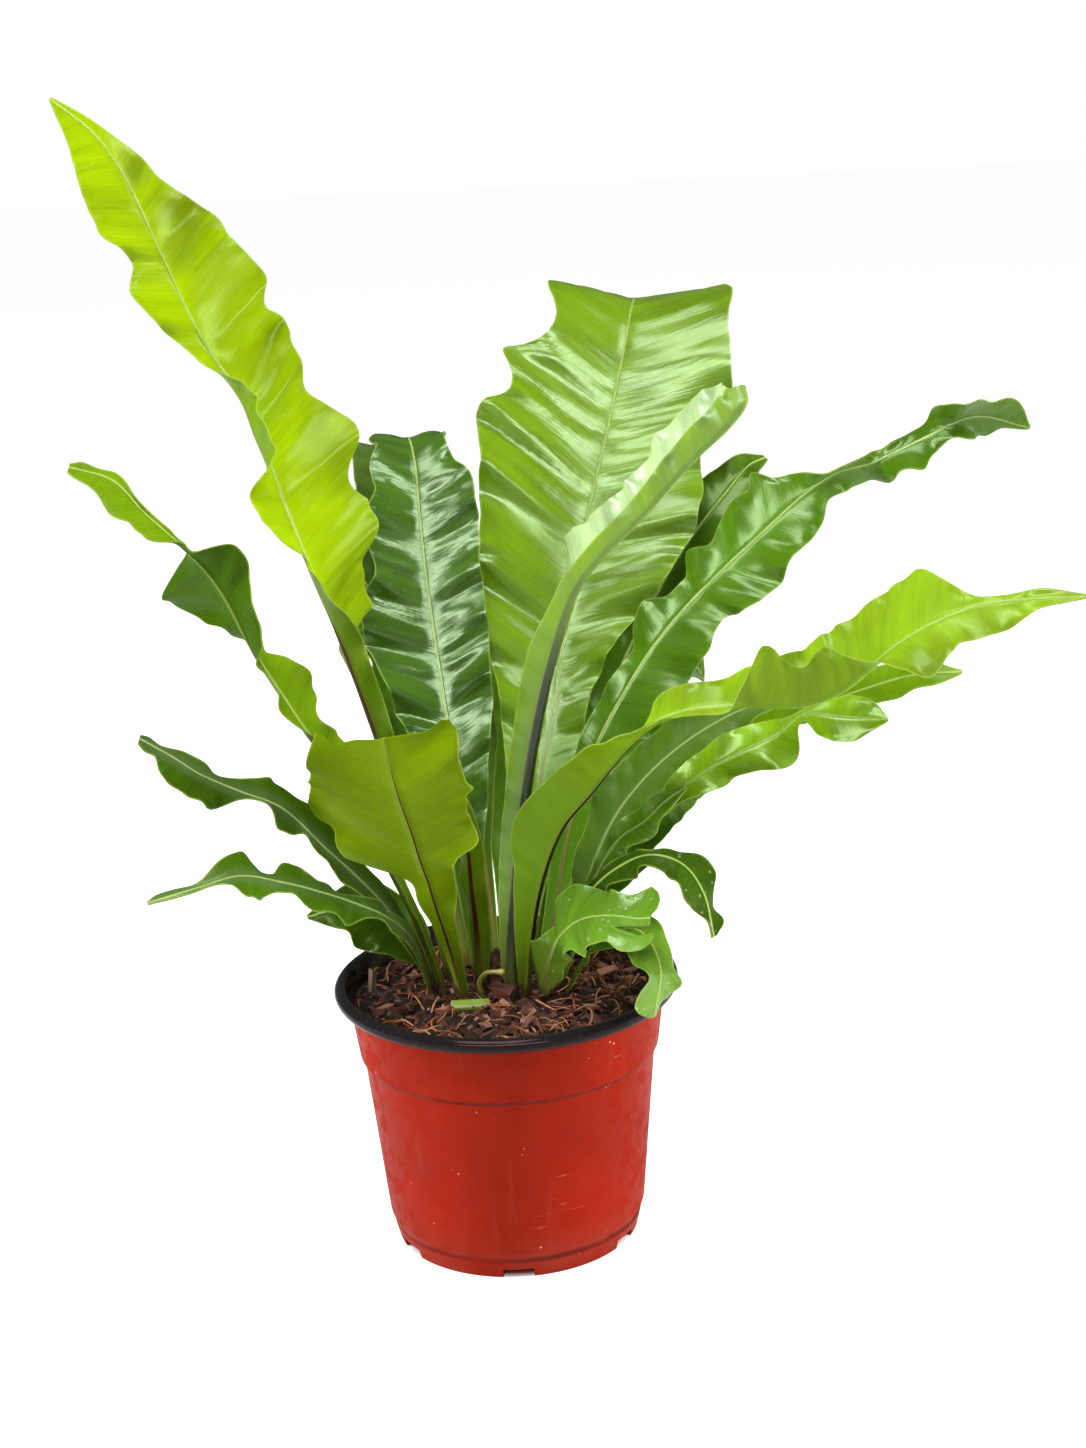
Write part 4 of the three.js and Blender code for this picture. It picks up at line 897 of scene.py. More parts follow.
def frond_solid(spec, blade, pace, seed):
    """Closed blade: the middle surface, thickened both ways along its own normal. The upper
    face carries a low ridge with a groove over the rib and the lower face its keel; the
    blade thins to the margin."""
    stations = int(smooth_path(spec["rib"])[1][-1] / pace)
    s = np.linspace(0, 1, stations + 1)
    point, across, up, length = rib_frame(spec, s)
    halves = {side: half_blade(spec, side, s, length, seed) for side in (-1, 1)}

    def both(field, odd=False):
        left, right = halves[-1][field], halves[1][field]
        return np.hstack([(-1 if odd else 1) * left[:, ::-1], right[:, 1:]])

    out, rise, signed = both(0, True), both(1), both(2, True)
    left, right = halves[-1][3], halves[1][3]
    columns = signed.shape[1] // 2
    width = np.hstack([np.repeat(left, columns + 1, 1), np.repeat(right, columns, 1)])
    d = np.abs(signed)
    v = d / width
    middle = point[:, None] + across[:, None] * out[..., None] + up[:, None] * rise[..., None]
    if "tip" in spec:
        middle = drawn_back(middle, s, keyed(spec["tip"], np.sign(signed[-1]) * v[-1]) / length)
    wander = noise(middle, WANDER["spacing"], seed) * fade_in((left + right) / 2, *WANDER["wide"])
    wander = spec.get("wander", WANDER["height"]) * wander
    normal = unit(np.cross(np.gradient(middle, axis=1), np.gradient(middle, axis=0)))
    middle = middle + normal * wander[..., None]

    rib = np.minimum(tapered("half", s), RIB_SHARE * width)
    half = blade / 2 * (1 - MARGIN["thinning"] * fade_in(v, MARGIN["band"], 1))
    groove = MIDRIB["groove"] * np.exp(-((d / (MIDRIB["groove_width"] * rib)) ** 2))
    ridge = MIDRIB["rise"] * np.exp(-((d / rib) ** 2)) - groove
    arch = np.sqrt(np.maximum(0, 1 - (d / (MIDRIB["keel_width"] * rib)) ** 2))
    keel = (tapered("depth", s) - half) * arch
    top = middle + normal * (half + ridge * fade_in(width, *MIDRIB["wide"]))[..., None]
    low = middle - normal * (half + keel)[..., None]

    rows, count = signed.shape
    points = np.concatenate([top, low[:, ::-1]], 1).reshape(-1, 3)
    k = np.arange(count - 1)
    start = np.stack([k, 2 * count - 1 - k, 2 * count - 2 - k, k + 1], -1)
    end = start[:, ::-1] + (rows - 1) * 2 * count
    faces = [ring_faces(rows, 2 * count), np.concatenate([start, end])]

    def twice(values):
        return np.concatenate([values, values[:, ::-1]], 1).ravel()

    l = np.repeat(s[:, None] * length, count, 1)
    face = np.concatenate([np.zeros_like(signed), np.ones_like(signed)], 1).ravel()
    leaf = np.stack([twice(l), twice(signed), face], -1)
    shape = np.stack([twice(l / length), twice(signed / width), twice(width)], -1)
    return points, faces, dict(leaf=leaf, blade=shape)


# ---- Pot --------------------------------------------------------------------------------------
def rounded(corners, radii, steps=5):
    """Outline whose corners are turned into short parabolas that leave the straight lines at
    the given distance from the corner."""
    p = np.array(corners, float)
    back, ahead = unit(p[:-2] - p[1:-1]), unit(p[2:] - p[1:-1])
    r = np.array(radii, float)[:, None]
    t = np.linspace(0, 1, steps)[:, None, None]
    a, b, c = p[1:-1] + back * r, p[1:-1], p[1:-1] + ahead * r
    arcs = (1 - t) ** 2 * a + 2 * t * (1 - t) * b + t**2 * c
    return np.vstack([p[:1], arcs.transpose(1, 0, 2).reshape(-1, 2), p[-1:]])


def pot_solid(segments, floor_ring=51.3):
    """The outline of the wall, turned about the axis. Its corners stand a little off the
    sizes that the solid shares, and are rounded in turn. Inside a notch the foot's bottom
    edge rises to the notch's roof. black marks the rolled rim and the inside, along tells
    how far up the outline a point lies."""
    low, high, step, band = POT["body_low"], POT["body_high"], POT["step"], POT["band_high"]
    wall, rim, top = POT["wall"], POT["rim"], POT["top"]
    neck = low[0] - 0.6 - POT["groove"]
    outside = rounded(
        [(POT["foot"], 0), (low[0] - 1.6, POT["foot_top"] - 1.5), (neck, POT["foot_top"]), low, high,
         (step[0] - 0.2, step[1] - 0.8), step, band],
        [0.6, 0.7, 1.2, 1.2, 0.4, 0.8])
    bead = rounded(
        [band, (rim - 1.4, POT["rim_low"] - 0.6), (rim, POT["rim_low"] + 2), (rim, top - 1.8),
         (rim - 2, top), (band[0] + 1.6, top), (band[0] - wall, POT["rim_low"] - 2)],
        [1.2, 1.0, 1.2, 0.9, 1.6], 6)
    inside = rounded(
        [(band[0] - wall, POT["rim_low"] - 2), (step[0] - wall, step[1] + 1),
         (high[0] - wall, high[1] - 1), (low[0] - wall, low[1]), (POT["foot"] - 5, POT["floor"]),
         (0, POT["floor"])],
        [0.6, 0.6, 1.0, 0.8], 4)
    base = np.array([(0, 0), (NOTCH["inner"] - 0.3, 0), (floor_ring, 0)])
    outline = np.vstack([base, outside, bead[1:], inside[1:]])
    red, dark = len(base) + len(outside), len(bead) + len(inside) - 2
    blackness = np.concatenate([np.zeros(red), np.ones(dark)])

    edge = np.arcsin(NOTCH["half_width"] / POT["foot"])
    middles = np.radians(-90 + 360 / NOTCH["count"] * np.arange(NOTCH["count"]))
    jambs = (middles[:, None] + np.array([-edge - 0.003, -edge, edge, edge + 0.003])).ravel()
    angle = np.concatenate([2 * np.pi * np.arange(segments) / segments, jambs])
    angle = np.unique(np.round(np.mod(angle, 2 * np.pi), 6))
    away = np.abs(np.mod(angle[:, None] - middles + np.pi, 2 * np.pi) - np.pi).min(1)
    notched = (away <= edge + 1e-4).astype(float)

    r = np.repeat(outline[None, :, 0], len(angle), 0)
    z = np.repeat(outline[None, :, 1], len(angle), 0)
    roof = NOTCH["height"] * notched[:, None]
    place = np.arange(len(outline))
    z = np.where((place >= 2) & (z < roof), roof, z)
    hidden = (outline[:, 1] < NOTCH["height"]) & (place > 2) & (place < 20)
    slope = POT["foot"] + (low[0] - 1.6 - POT["foot"]) * roof / (POT["foot_top"] - 1.5)
    r = np.where(hidden & (notched[:, None] > 0), np.maximum(r, slope), r)
    points = np.stack([r * np.cos(angle)[:, None], r * np.sin(angle)[:, None], z], -1)

    sides, rings = len(angle), len(outline) - 2
    flat = points[:, 1:-1].transpose(1, 0, 2).reshape(-1, 3)
    flat = np.vstack([flat, [[0, 0, 0], [0, 0, POT["floor"]]]])
    run = np.concatenate([[0], np.cumsum(np.linalg.norm(np.diff(outline, axis=0), axis=1))])
    marks = dict(
        black=np.append(np.repeat(blackness[1:-1], sides), [0, 1]),
        along=np.append(np.repeat(run[1:-1] - run[red - 1], sides), [-200, 200]),
    )
    return flat, [ring_faces(rings, sides), end_fans(rings, sides)], marks


# Tones of the pot's plastic, linear. The dark line tone is painted shade under the step and in the
# groove above the foot; the pale rim tone is partly real scuffs and partly painted highlight.
POT_TONES = dict(
    run=(0.46, 0.06, 0.03), dust=(0.36, 0.09, 0.05), speck=(0.80, 0.52, 0.42),
    line=(0.07, 0.005, 0.002), scuff_and_highlight=(0.46, 0.40, 0.42), algae=(0.07, 0.085, 0.035),
)


def pot_material(red, black):
    """Scuffed plastic: brick red outside with faint runs, dust and white specks, and painted
    shade in dark lines under the step and in the groove. Black inside and on the rolled rim,
    which is glossier, with pale patches that are partly scuffs and partly painted highlight,
    and a little algae inside."""
    f = Finish("nursery_pot_plastic", specular_ior_level=0.15, specular_tint=(1, 0.6, 0.5, 1))
    place, rise = f.place(), f.mark("along")
    _, _, z = f.split(place)
    on_black = f.step(f.mark("black"), 0.4, 0.6)
    cloud, fine = f.noise(place, 22.0, 4, 0.6), f.noise(place, 900.0, 2)

    runs = f.noise(f.stretched(place, (170, 170, 7)), 1.0, 3)
    body = f.mix(f.step(cloud, 0.3, 0.7), dimmed(red, 0.8), red)
    body = f.mix(f.times(f.step(runs, 0.58, 0.74), 0.22), body, POT_TONES["run"])
    foot_dust = f.times(f.step(z, 0.03, 0.004), f.step(cloud, 0.35, 0.6))
    body = f.mix(f.times(foot_dust, 0.25), body, POT_TONES["dust"])
    speck = f.step(f.cells(place, 190.0), 0.13, 0.07)
    speck = f.times(speck, f.step(f.noise(place, 45.0, 1), 0.56, 0.68))
    scratch = f.step(f.noise(f.stretched(place, (60, 60, 520)), 1.0, 2), 0.68, 0.76)
    scratch = f.times(scratch, f.step(cloud, 0.5, 0.66))
    white = f.math("MAXIMUM", f.times(speck, 0.8), f.times(scratch, 0.22))
    body = f.mix(white, body, POT_TONES["speck"])

    def line(height, far, near):
        return f.step(f.math("ABSOLUTE", f.minus(z, height * MM)), far, near)

    # Painted shade: dark lines under the overhang of the step and in the groove above the foot
    under_step, at_groove = POT["step"][1] - 1.8, POT["foot_top"] + 0.2
    lines = f.math("MAXIMUM", line(under_step, 0.0018, 0.0004), line(at_groove, 0.0022, 0.0006))
    lines = f.times(lines, f.step(cloud, 0.2, 0.7))
    body = f.mix(f.times(lines, 0.8), body, POT_TONES["line"])

    # Pale patches low on the rim's outer face: partly real scuffs, partly a painted highlight
    scuff_and_highlight = f.times(f.step(rise, 4.5, 0.6), f.step(f.noise(place, 120.0, 3), 0.46, 0.64))
    dark = f.mix(f.step(fine, 0.35, 0.7), black, dimmed(black, 1.7))
    dark = f.mix(f.times(scuff_and_highlight, 0.65), dark, POT_TONES["scuff_and_highlight"])
    algae = f.times(f.step(rise, 15.0, 18.0), f.step(f.noise(place, 70.0, 3), 0.42, 0.62))
    dark = f.mix(f.times(algae, 0.5), dark, POT_TONES["algae"])

    rough = f.plus(0.42, f.times(f.minus(cloud, 0.5), 0.25))
    rough = f.minus(rough, f.times(on_black, 0.3))
    rough = f.plus(rough, f.times(f.math("MAXIMUM", white, scuff_and_highlight), 0.2))
    relief = f.bump(f.plus(fine, f.times(cloud, 2.0)), 0.00012, 0.5)
    return f.done(base_color=f.mix(on_black, body, dark), roughness=rough, normal=relief)


# ---- Potting mix, bark, fibre ---------------------------------------------------------------
def mound(x, y):
    """Height of the mix: a low mound with soft bumps that fade at the pot's wall."""
    r = np.hypot(x, y)
    bumps = np.sin(x / 5.1 + 1.3) * np.cos(y / 4.3) + 0.6 * np.sin((x + y) / 3.1)
    fade = np.clip((SOIL["radius"] - 0.5 - r) / 6, 0, 1)
    swell = SOIL["mound"] * np.exp(-((r / SOIL["spread"]) ** 2))
    return SOIL["edge"] + swell + SOIL["relief"] * bumps * fade


def mix_solid(rings=64, segments=220):
    """Top of the mix on a polar grid, its height the mound and two sizes of crumb, closed by
    a straight side and a flat underside below what shows."""
    angle = 2 * np.pi * np.arange(segments) / segments
    r = SOIL["radius"] * np.linspace(1, 0.012, rings)[:, None]
    x, y = r * np.cos(angle), r * np.sin(angle)
    z = mound(x, y)
    here = np.stack([x, y, z], -1)
    crumb = 1.5 * noise(here, 4.2, 1) + 0.9 * noise(here, 1.9, 2) + 0.4 * noise(here, 0.9, 3)
    here[..., 2] += crumb * np.clip((SOIL["radius"] + 0.5 - r) / 3, 0.25, 1)
    side = here[:1].repeat(2, 0)
    side[..., 2] = np.array([POT["floor"] + 0.3, 60])[:, None]
    side[0, :, :2] *= (POT["foot"] - 6) / SOIL["radius"]
    side[1, :, :2] *= (POT["body_high"][0] - POT["wall"] - 3.5) / SOIL["radius"]
    centre = [[0, 0, POT["floor"] + 0.3], [0, 0, mound(0, 0)]]
    points = np.vstack([np.concatenate([side, here]).reshape(-1, 3), centre])
    rows = rings + len(side)
    return points, [ring_faces(rows, segments), end_fans(rows, segments)], {}


def mix_material(tone):
    """Fine crumb between black and the mix's tone, with some redder lumps."""
    f = Finish("potting_mix_crumb", specular_ior_level=0.3)
    crumb = f.noise(f.place(), 420.0, 4, 0.65)
    lump, _, _ = f.split(f.cells(f.place(), 230.0, "Color"))
    colour = f.mix(f.step(crumb, 0.3, 0.7), dimmed(tone, 0.35), tone)
    colour = f.mix(f.times(f.step(lump, 0.55, 0.9), 0.6), colour, (0.13, 0.05, 0.035))
    rough = f.plus(0.55, f.times(crumb, 0.35))
    relief = f.bump(f.plus(crumb, f.times(f.cells(f.place(), 300.0), 0.6)), 0.0012, 0.8)
    return f.done(base_color=colour, roughness=rough, normal=relief)


def spots(random, count, reach):
    """Random places on the mix, even over a disc."""
    r = reach * np.sqrt(random.uniform(0, 1, count))
    turn = random.uniform(0, 2 * np.pi, count)
    x, y = r * np.cos(turn), r * np.sin(turn)
    return np.stack([x, y, mound(x, y)], -1)


def chips(random, places, length, breadth, thick, tilt):
    """Angular chips: a box whose eight corners are pushed about and whose ends are cut askew,
    turned any way about the vertical and tilted by up to tilt degrees."""
    n = len(places)
    corner = np.array(list(np.ndindex(2, 2, 2))) * 2 - 1.0
    size = np.stack([random.uniform(*span, n) for span in (length, breadth, thick)], -1) / 2
    box = corner[None] * size[:, None] * random.uniform(0.55, 1.1, (n, 8, 3))
    turn = random.uniform(0, 2 * np.pi, n)
    lean, roll = np.radians(random.uniform(-tilt, tilt, (2, n)))
    along_x = np.stack([np.cos(turn) * np.cos(lean), np.sin(turn) * np.cos(lean), np.sin(lean)], -1)
    side = np.stack([-np.sin(turn), np.cos(turn), 0 * turn], -1)
    side = turned(side, along_x, roll)
    up = np.cross(along_x, side)
    axes = np.stack([along_x, side, up], 1)
    points = places[:, None] + box @ axes
    points[..., 2] += size[:, None, 2] * 0.6
    quads = np.array([
        [0, 1, 3, 2], [4, 6, 7, 5], [0, 4, 5, 1], [2, 3, 7, 6], [0, 2, 6, 4], [1, 5, 7, 3]])
    faces = (quads[None] + 8 * np.arange(n)[:, None, None]).reshape(-1, 4)
    return points.reshape(-1, 3), [faces], dict(chance=np.repeat(random.uniform(0, 1, n), 8))


def fibres(random, places, length, radius, stations=9):
    """Curved fibres: each heading turns steadily along its length, and the fibre follows the
    mound with a hump of its own."""
    n = len(places)
    t = np.linspace(0, 1, stations)
    reach = random.uniform(*length, n)[:, None]
    heading = random.uniform(0, 2 * np.pi, n)[:, None] + random.normal(0, 1.1, n)[:, None] * t
    x = places[:, :1] + np.cumsum(np.cos(heading), 1) * reach / stations
    y = places[:, 1:2] + np.cumsum(np.sin(heading), 1) * reach / stations
    inside = np.minimum(1, (SOIL["radius"] - 2) / np.maximum(np.hypot(x, y), 1))
    x, y = x * inside, y * inside
    hump = random.uniform(0.2, 2.6, n)[:, None] * np.sin(np.pi * t)
    hump = hump + random.exponential(1.0, n)[:, None] * t**2
    path = np.stack([x, y, mound(x, y) + 1.0 + hump], -1)
    _, across, up = path_frame(path)
    thick = random.uniform(*radius, n)[:, None] * (1 - 0.6 * t**3)
    points, faces = lofts(path, across, up, thick, thick * 0.8, 5)
    return points, faces, dict(chance=np.repeat(random.uniform(0, 1, n), len(points) // n))


# Loose and dry matter: three linear tones, the roughness and the fineness of the grain
LITTER = dict(
    bark=([(0.035, 0.013, 0.008), (0.11, 0.038, 0.025), (0.42, 0.19, 0.14)], 0.5, 500.0),
    coir=([(0.42, 0.12, 0.05), (0.16, 0.05, 0.02), (0.62, 0.29, 0.14)], 0.4, 300.0),
    grit=([(0.55, 0.40, 0.36), (0.62, 0.55, 0.50), (0.30, 0.20, 0.15)], 0.7, 500.0),
    dry_stub=([(0.24, 0.16, 0.11)] * 3, 0.7, 700.0),
    sheath=([(0.17, 0.05, 0.035)] * 3, 0.5, 500.0),
    crown_scales=([(0.10, 0.04, 0.02), (0.19, 0.085, 0.045), (0.32, 0.17, 0.09)], 0.6, 700.0),
)
# Chips: ranges of length, breadth and thickness in millimetres, and the greatest tilt in degrees
CHIPS = dict(
    bark_large=((6, 13), (3, 6.5), (1.2, 2.8), 30),
    bark_small=((2.5, 7), (1.4, 3.6), (0.7, 1.8), 45),
    pale_grit=((0.8, 2.2), (0.8, 1.8), (0.7, 1.5), 60),
    upright_stub=((3.6, 3.8), (2.8, 3), (13, 14), 12),
    old_sheath=((10, 11), (5, 6), (6, 7), 14),
)
STUB_PLACE, SHEATH_PLACE = (-63, 5, 118.5), (-1.5, -16, 121)
FIBRES = dict(length=(5, 19), radius=(0.2, 0.6))
LITTER_REACH = dict(bark_large=66, bark_small=69, coir_fibres=67, pale_grit=66)  # from the axis
GRIT_COUNT, SMALL_FOR_A_LARGE = 46, 5
SEEDS = dict(litter=11, lone=12, crown=5)  # of the random draws


def litter_material(name):
    """Three tones shared out by each piece's own chance, with a streaky grain."""
    tones, rough, grain = LITTER[name]
    f = Finish(name, specular_ior_level=0.35)
    chance = f.mark("chance")
    colour = f.mix(f.step(chance, 0.25, 0.4), tones[0], tones[1])
    colour = f.mix(f.step(chance, 0.7, 0.85), colour, tones[2])
    streak = f.noise(f.place(), grain, 4, 0.65)
    shade = f.plus(0.55, f.times(streak, 0.9))
    colour = f.mix(1.0, colour, f.combine(shade, shade, shade), "MULTIPLY")
    return f.done(base_color=colour, roughness=rough, normal=f.bump(streak, 0.0006, 0.7))


# ---- Crown, young frond, stump ----------------------------------------------------------------
# Scales of the crown and of the foot of a stalk: how many, ranges of length and half width
CROWN_SCALES = dict(count=90, length=(6, 11), width=(1.2, 2.4))
STALK_SCALES = dict(count=5, length=(5, 12), width=(0.7, 1.6))
# Linear colours where the mark of a stalk is full and where it is nothing
YOUNG_TONES = (0.68, 0.60, 0.12), (0.42, 0.42, 0.06)
CUT_TONES = (0.72, 0.82, 0.42), (0.36, 0.52, 0.07)


def scales(random, base, outward, rise, length, width):
    """Pointed scales: each strip leaves its base, rises and bends out, and narrows to a tip.
    Its half width is the sine of the way along, skewed towards the base."""
    n, t = len(base), np.linspace(0, 1, 8)
    reach = random.uniform(*length, n)[:, None]
    flare = random.uniform(0.05, 0.32, n)[:, None]
    climb, out = reach * t * (1 - 0.12 * t), reach * (0.03 * t + flare * t**2.2)
    centre = base[:, None] + rise[:, None] * climb[..., None] + outward[:, None] * out[..., None]
    side = unit(np.cross(rise, outward))
    across = np.repeat(side[:, None], len(t), 1)
    up = unit(np.cross(unit(np.gradient(centre, axis=1)), across))
    bulge = np.sin(np.pi * np.minimum(1, 0.25 + 0.75 * t)) ** 0.8
    half = random.uniform(*width, n)[:, None] * (0.16 + 0.84 * bulge)
    points, faces = lofts(centre, across, up, half, 0.22 + 0.12 * half * (1 - t), 6)
    return points, faces, dict(chance=np.repeat(random.uniform(0, 1, n), len(points) // n))


def crown_solid(random, count, length, width):
    """Core ellipsoid, with scales set round it in a spiral from low to high."""
    theta = np.linspace(0.04, np.pi - 0.04, 26)[::-1, None]
    phi = np.linspace(0, 2 * np.pi, 32, endpoint=False)
    flat = np.sin(theta)
    shape = np.stack([flat * np.cos(phi), flat * np.sin(phi), np.cos(theta) + 0 * phi], -1)
    swell = 1 + 0.09 * np.sin(7 * phi + 9 * np.cos(theta))[..., None] * np.array([1, 1, 0])
    core = shape * swell * (np.array(CROWN["radii"]) - 0.5) + CROWN["centre"]
    rows, columns = theta.shape[0], len(phi)
    k, last = np.arange(columns), (rows - 1) * columns
    caps = [np.array([k[::-1]]), np.array([last + k])]
    turn = 2.4 * np.arange(count)
    level = np.linspace(0.0, 0.93, count)
    r = np.sqrt(1 - level**2)
    spot = np.stack([r * np.cos(turn), r * np.sin(turn), level], -1)
    outward = unit(np.stack([np.cos(turn), np.sin(turn), 0 * turn], -1))
    base = spot * np.array(CROWN["radii"]) * 0.9 + CROWN["centre"]
    inward = -0.25 * level
    rise = unit(np.stack([inward * np.cos(turn), inward * np.sin(turn), 1 + 0 * turn], -1))
    points, faces, marks = scales(random, base, outward, rise, length, width)
    core = core.reshape(-1, 3)
    shift = len(core)
    marks["chance"] = np.concatenate([np.full(shift, 0.3), marks["chance"]])
    faces = [ring_faces(rows, columns), *caps, *[f + shift for f in faces]]
    return np.vstack([core, points]), faces, marks


def stalk_scales(random, specs, count, length, width):
    """Brown scales that clasp the foot of every stalk where it leaves the mix."""
    groups = []
    for spec in specs:
        path, run = smooth_path(spec["rib"])
        start = along(path, run, np.full(count, 12.0) + random.uniform(-2, 7, count))
        tangent = unit(path[60] - path[0])
        turn = random.uniform(0, 2 * np.pi, count)
        first = unit(np.cross(tangent, [1.0, 0.2, 0]))
        axis = np.repeat(tangent[None], count, 0)
        outward = turned(np.repeat(first[None], count, 0), axis, turn)
        groups.append((start + outward * 1.7, outward, axis))
    base, outward, rise = (np.concatenate(part) for part in zip(*groups))
    return scales(random, base, outward, rise, length, width)


def young_solid():
    """Hooked stalk with a blunt curled tip and a slightly flattened section."""
    path, run = smooth_path(YOUNG_PATH)
    s = np.linspace(0, 1, 48)
    centre = along(path, run, s * run[-1])[None]
    _, across, up = path_frame(centre, (0.3, -1, 0.2))
    half = 1.3 * (1 - 0.25 * s + 0.55 * np.exp(-(((s - 0.97) / 0.06) ** 2)))[None]
    half = half * np.sqrt(np.clip((1.004 - s) / 0.03, 0.05, 1))
    points, faces = lofts(centre, across, up, half, 0.86 * half, 14)
    return points, faces, dict(chance=np.append(np.repeat(s, 14), [0, 1]))


def stump_solid(columns=36, rows=22):
    """Cut stalk: an oval section with a groove along its top, a little swollen along its middle.
    The cut face is dished."""
    start, end = np.array(STUMP["start"], float), np.array(STUMP["end"], float)
    axis = unit(end - start)
    side = unit(np.cross(axis, [0, 0, 1.0]))
    up = np.cross(side, axis)
    angle = 2 * np.pi * np.arange(columns) / columns
    groove = 1 - 0.34 * np.exp(-(((angle - np.pi / 2) / 0.42) ** 2))
    t = np.concatenate([np.linspace(0, 1, rows), [1.0, 0.985, 0.955]])
    size = np.concatenate([0.97 + 0.05 * np.sin(2.6 * np.linspace(0, 1, rows)), [0.93, 0.72, 0.35]])
    wide, tall = STUMP["radii"]
    points = (
        start + axis * (t[:, None, None] * np.linalg.norm(end - start))
        + side * (size[:, None] * wide * groove * np.cos(angle))[..., None]
        + up * (size[:, None] * tall * groove * np.sin(angle))[..., None]
    )
    count, k = len(t), np.arange(columns)
    caps = [np.array([k]), np.array([(count - 1) * columns + k[::-1]])]
    faces = [ring_faces(count, columns)[:, ::-1], *caps]
    cut = np.repeat((np.arange(count) >= rows).astype(float), columns)
    return points.reshape(-1, 3), faces, dict(cut=cut)


def stalk_material(name, light, dark, mark):
    """Smooth moist stalk, one colour running into the other along the mark, with a faint cloudy bump.
    """
    f = Finish(name, specular_ior_level=0.5, coat_weight=0.2, coat_roughness=0.2)
    cloud = f.noise(f.place(), 220.0, 3)
    colour = f.mix(f.step(f.mark(mark), 0.1, 0.9), dark, light)
    colour = f.mix(f.times(f.step(cloud, 0.5, 0.75), 0.4), colour, dimmed(light, 0.6))
    return f.done(base_color=colour, roughness=0.34, normal=f.bump(cloud, 0.0003, 0.5))


# ---- Settings -----------------------------------------------------------------------------------
def colour_setting(name, description, default):
    return FloatVectorProperty(
        name=name, description=description, default=default, min=0, max=1, subtype="COLOR")


def length_setting(name, description, default):
    return FloatProperty(name=name, description=description, default=default, min=0, unit="LENGTH")


def count_setting(name, description, default, low, high):
    return IntProperty(name=name, description=description, default=default, min=low, max=high)


class PotSettings(bpy.types.PropertyGroup):
    body_colour: colour_setting("Body", "Colour of the pot outside", (0.41, 0.014, 0.0005))
    rim_colour: colour_setting("Rim", "Colour of the rolled rim and the inside", (0.012, 0.010, 0.011))
    segments: count_setting("Segments", "Faces round the pot", 240, 40, 600)


class MixSettings(bpy.types.PropertyGroup):
    mix_colour: colour_setting("Mix", "Colour of the fine potting mix", (0.035, 0.015, 0.009))
    chip_count: count_setting("Chips", "Number of bark chips", 620, 0, 3000)
    fibre_count: count_setting("Fibres", "Number of coir fibres", 330, 0, 3000)


class FrondSettings(bpy.types.PropertyGroup):
    blade: length_setting("Blade", "Thickness of a blade beside its rib", 0.0008)
    pace: length_setting("Spacing", "Distance between cross sections along a frond", 0.0013)
    gloss: FloatProperty(
        name="Roughness", description="Roughness of the upper face", default=0.3, min=0, max=1)


class StageSettings(bpy.types.PropertyGroup):
    lens: FloatProperty(
        name="Lens", description="Focal length of the camera", default=59.67, unit="CAMERA")
    distance: length_setting("Distance", "From the camera to the point that it looks at", 1.085)
    floor_colour: colour_setting("Floor", "Colour of the floor", (0.93, 0.93, 0.93))
    daylight: FloatProperty(
        name="Daylight", description="Strength of the light from all round", default=0.13, min=0)


# ---- Stage -----------------------------------------------------------------------------------------
FLOOR = dict(half=9000, below=0.2, glow=0.86, clear=(0.052, 0.06))  # no glow beside the pot's foot
# Name, place, width and height in metres, power in watts, and whether it gives even light
# and whether it gives gleams
SOFTBOXES = [
    ("left", (-1.4, -0.1, 0.7), (0.35, 1.2), 21, True, False),
    ("right", (1.45, -0.1, 0.65), (0.35, 1.2), 24, True, False),
    ("top", (-0.15, -0.5, 1.45), (0.8, 0.5), 12, True, True),
    ("sheen", (-0.1, -1.9, 1.0), (2.0, 0.45), 46, False, True),
]
AIM = (0.0, 0.0, 0.28)


def lay_daylight(scene, strength):
    """White surroundings: bright where the camera sees them, softer as light on the plant."""
    world = bpy.data.worlds.new("daylight")
    world.use_nodes = True
    tree = world.node_tree
    soft, seen = tree.nodes["Background"], tree.nodes.new("ShaderNodeBackground")
    soft.inputs[0].default_value = seen.inputs[0].default_value = (1, 1, 1, 1)
    soft.inputs[1].default_value = strength
    choose, path = tree.nodes.new("ShaderNodeMixShader"), tree.nodes.new("ShaderNodeLightPath")
    tree.links.new(path.outputs["Is Camera Ray"], choose.inputs[0])
    tree.links.new(soft.outputs[0], choose.inputs[1])
    tree.links.new(seen.outputs[0], choose.inputs[2])
    tree.links.new(choose.outputs[0], tree.nodes["World Output"].inputs[0])
    scene.world = world
    scene.view_settings.view_transform = "Standard"


def add_softbox(scene, name, place, size, watts, even, gleams):
    """Rectangular lamp that points at the plant."""
    lamp = bpy.data.lights.new(name, "AREA")
    lamp.shape, lamp.size, lamp.size_y, lamp.energy = "RECTANGLE", size[0], size[1], watts
    box = bpy.data.objects.new(name, lamp)
    box.location = place
    box.visible_diffuse, box.visible_glossy = even, gleams
    box.rotation_euler = (Vector(AIM) - Vector(place)).to_track_quat("-Z", "Y").to_euler()
    scene.collection.objects.link(box)


def place_camera(scene, lens, distance, target=(0.0227, 0, 0.2455), elevation=15.7, roll=2.7):
    """Camera a little above the plant, turned slightly about its own line of sight."""
    rise, twist = np.radians(elevation), np.radians(roll)
    right, up = np.array([1.0, 0, 0]), np.array([0, np.sin(rise), np.cos(rise)])
    back = np.array([0, -np.cos(rise), np.sin(rise)])
    across = right * np.cos(twist) - up * np.sin(twist)
    above = right * np.sin(twist) + up * np.cos(twist)
    data = bpy.data.cameras.new("camera")
    data.lens, data.sensor_width, data.clip_end = lens, 36, 50
    camera = bpy.data.objects.new("camera", data)
    turn = Matrix(np.column_stack([across, above, back]).tolist())
    camera.matrix_world = Matrix.Translation(np.array(target) + back * distance) @ turn.to_4x4()
    scene.collection.objects.link(camera)
    scene.camera = camera


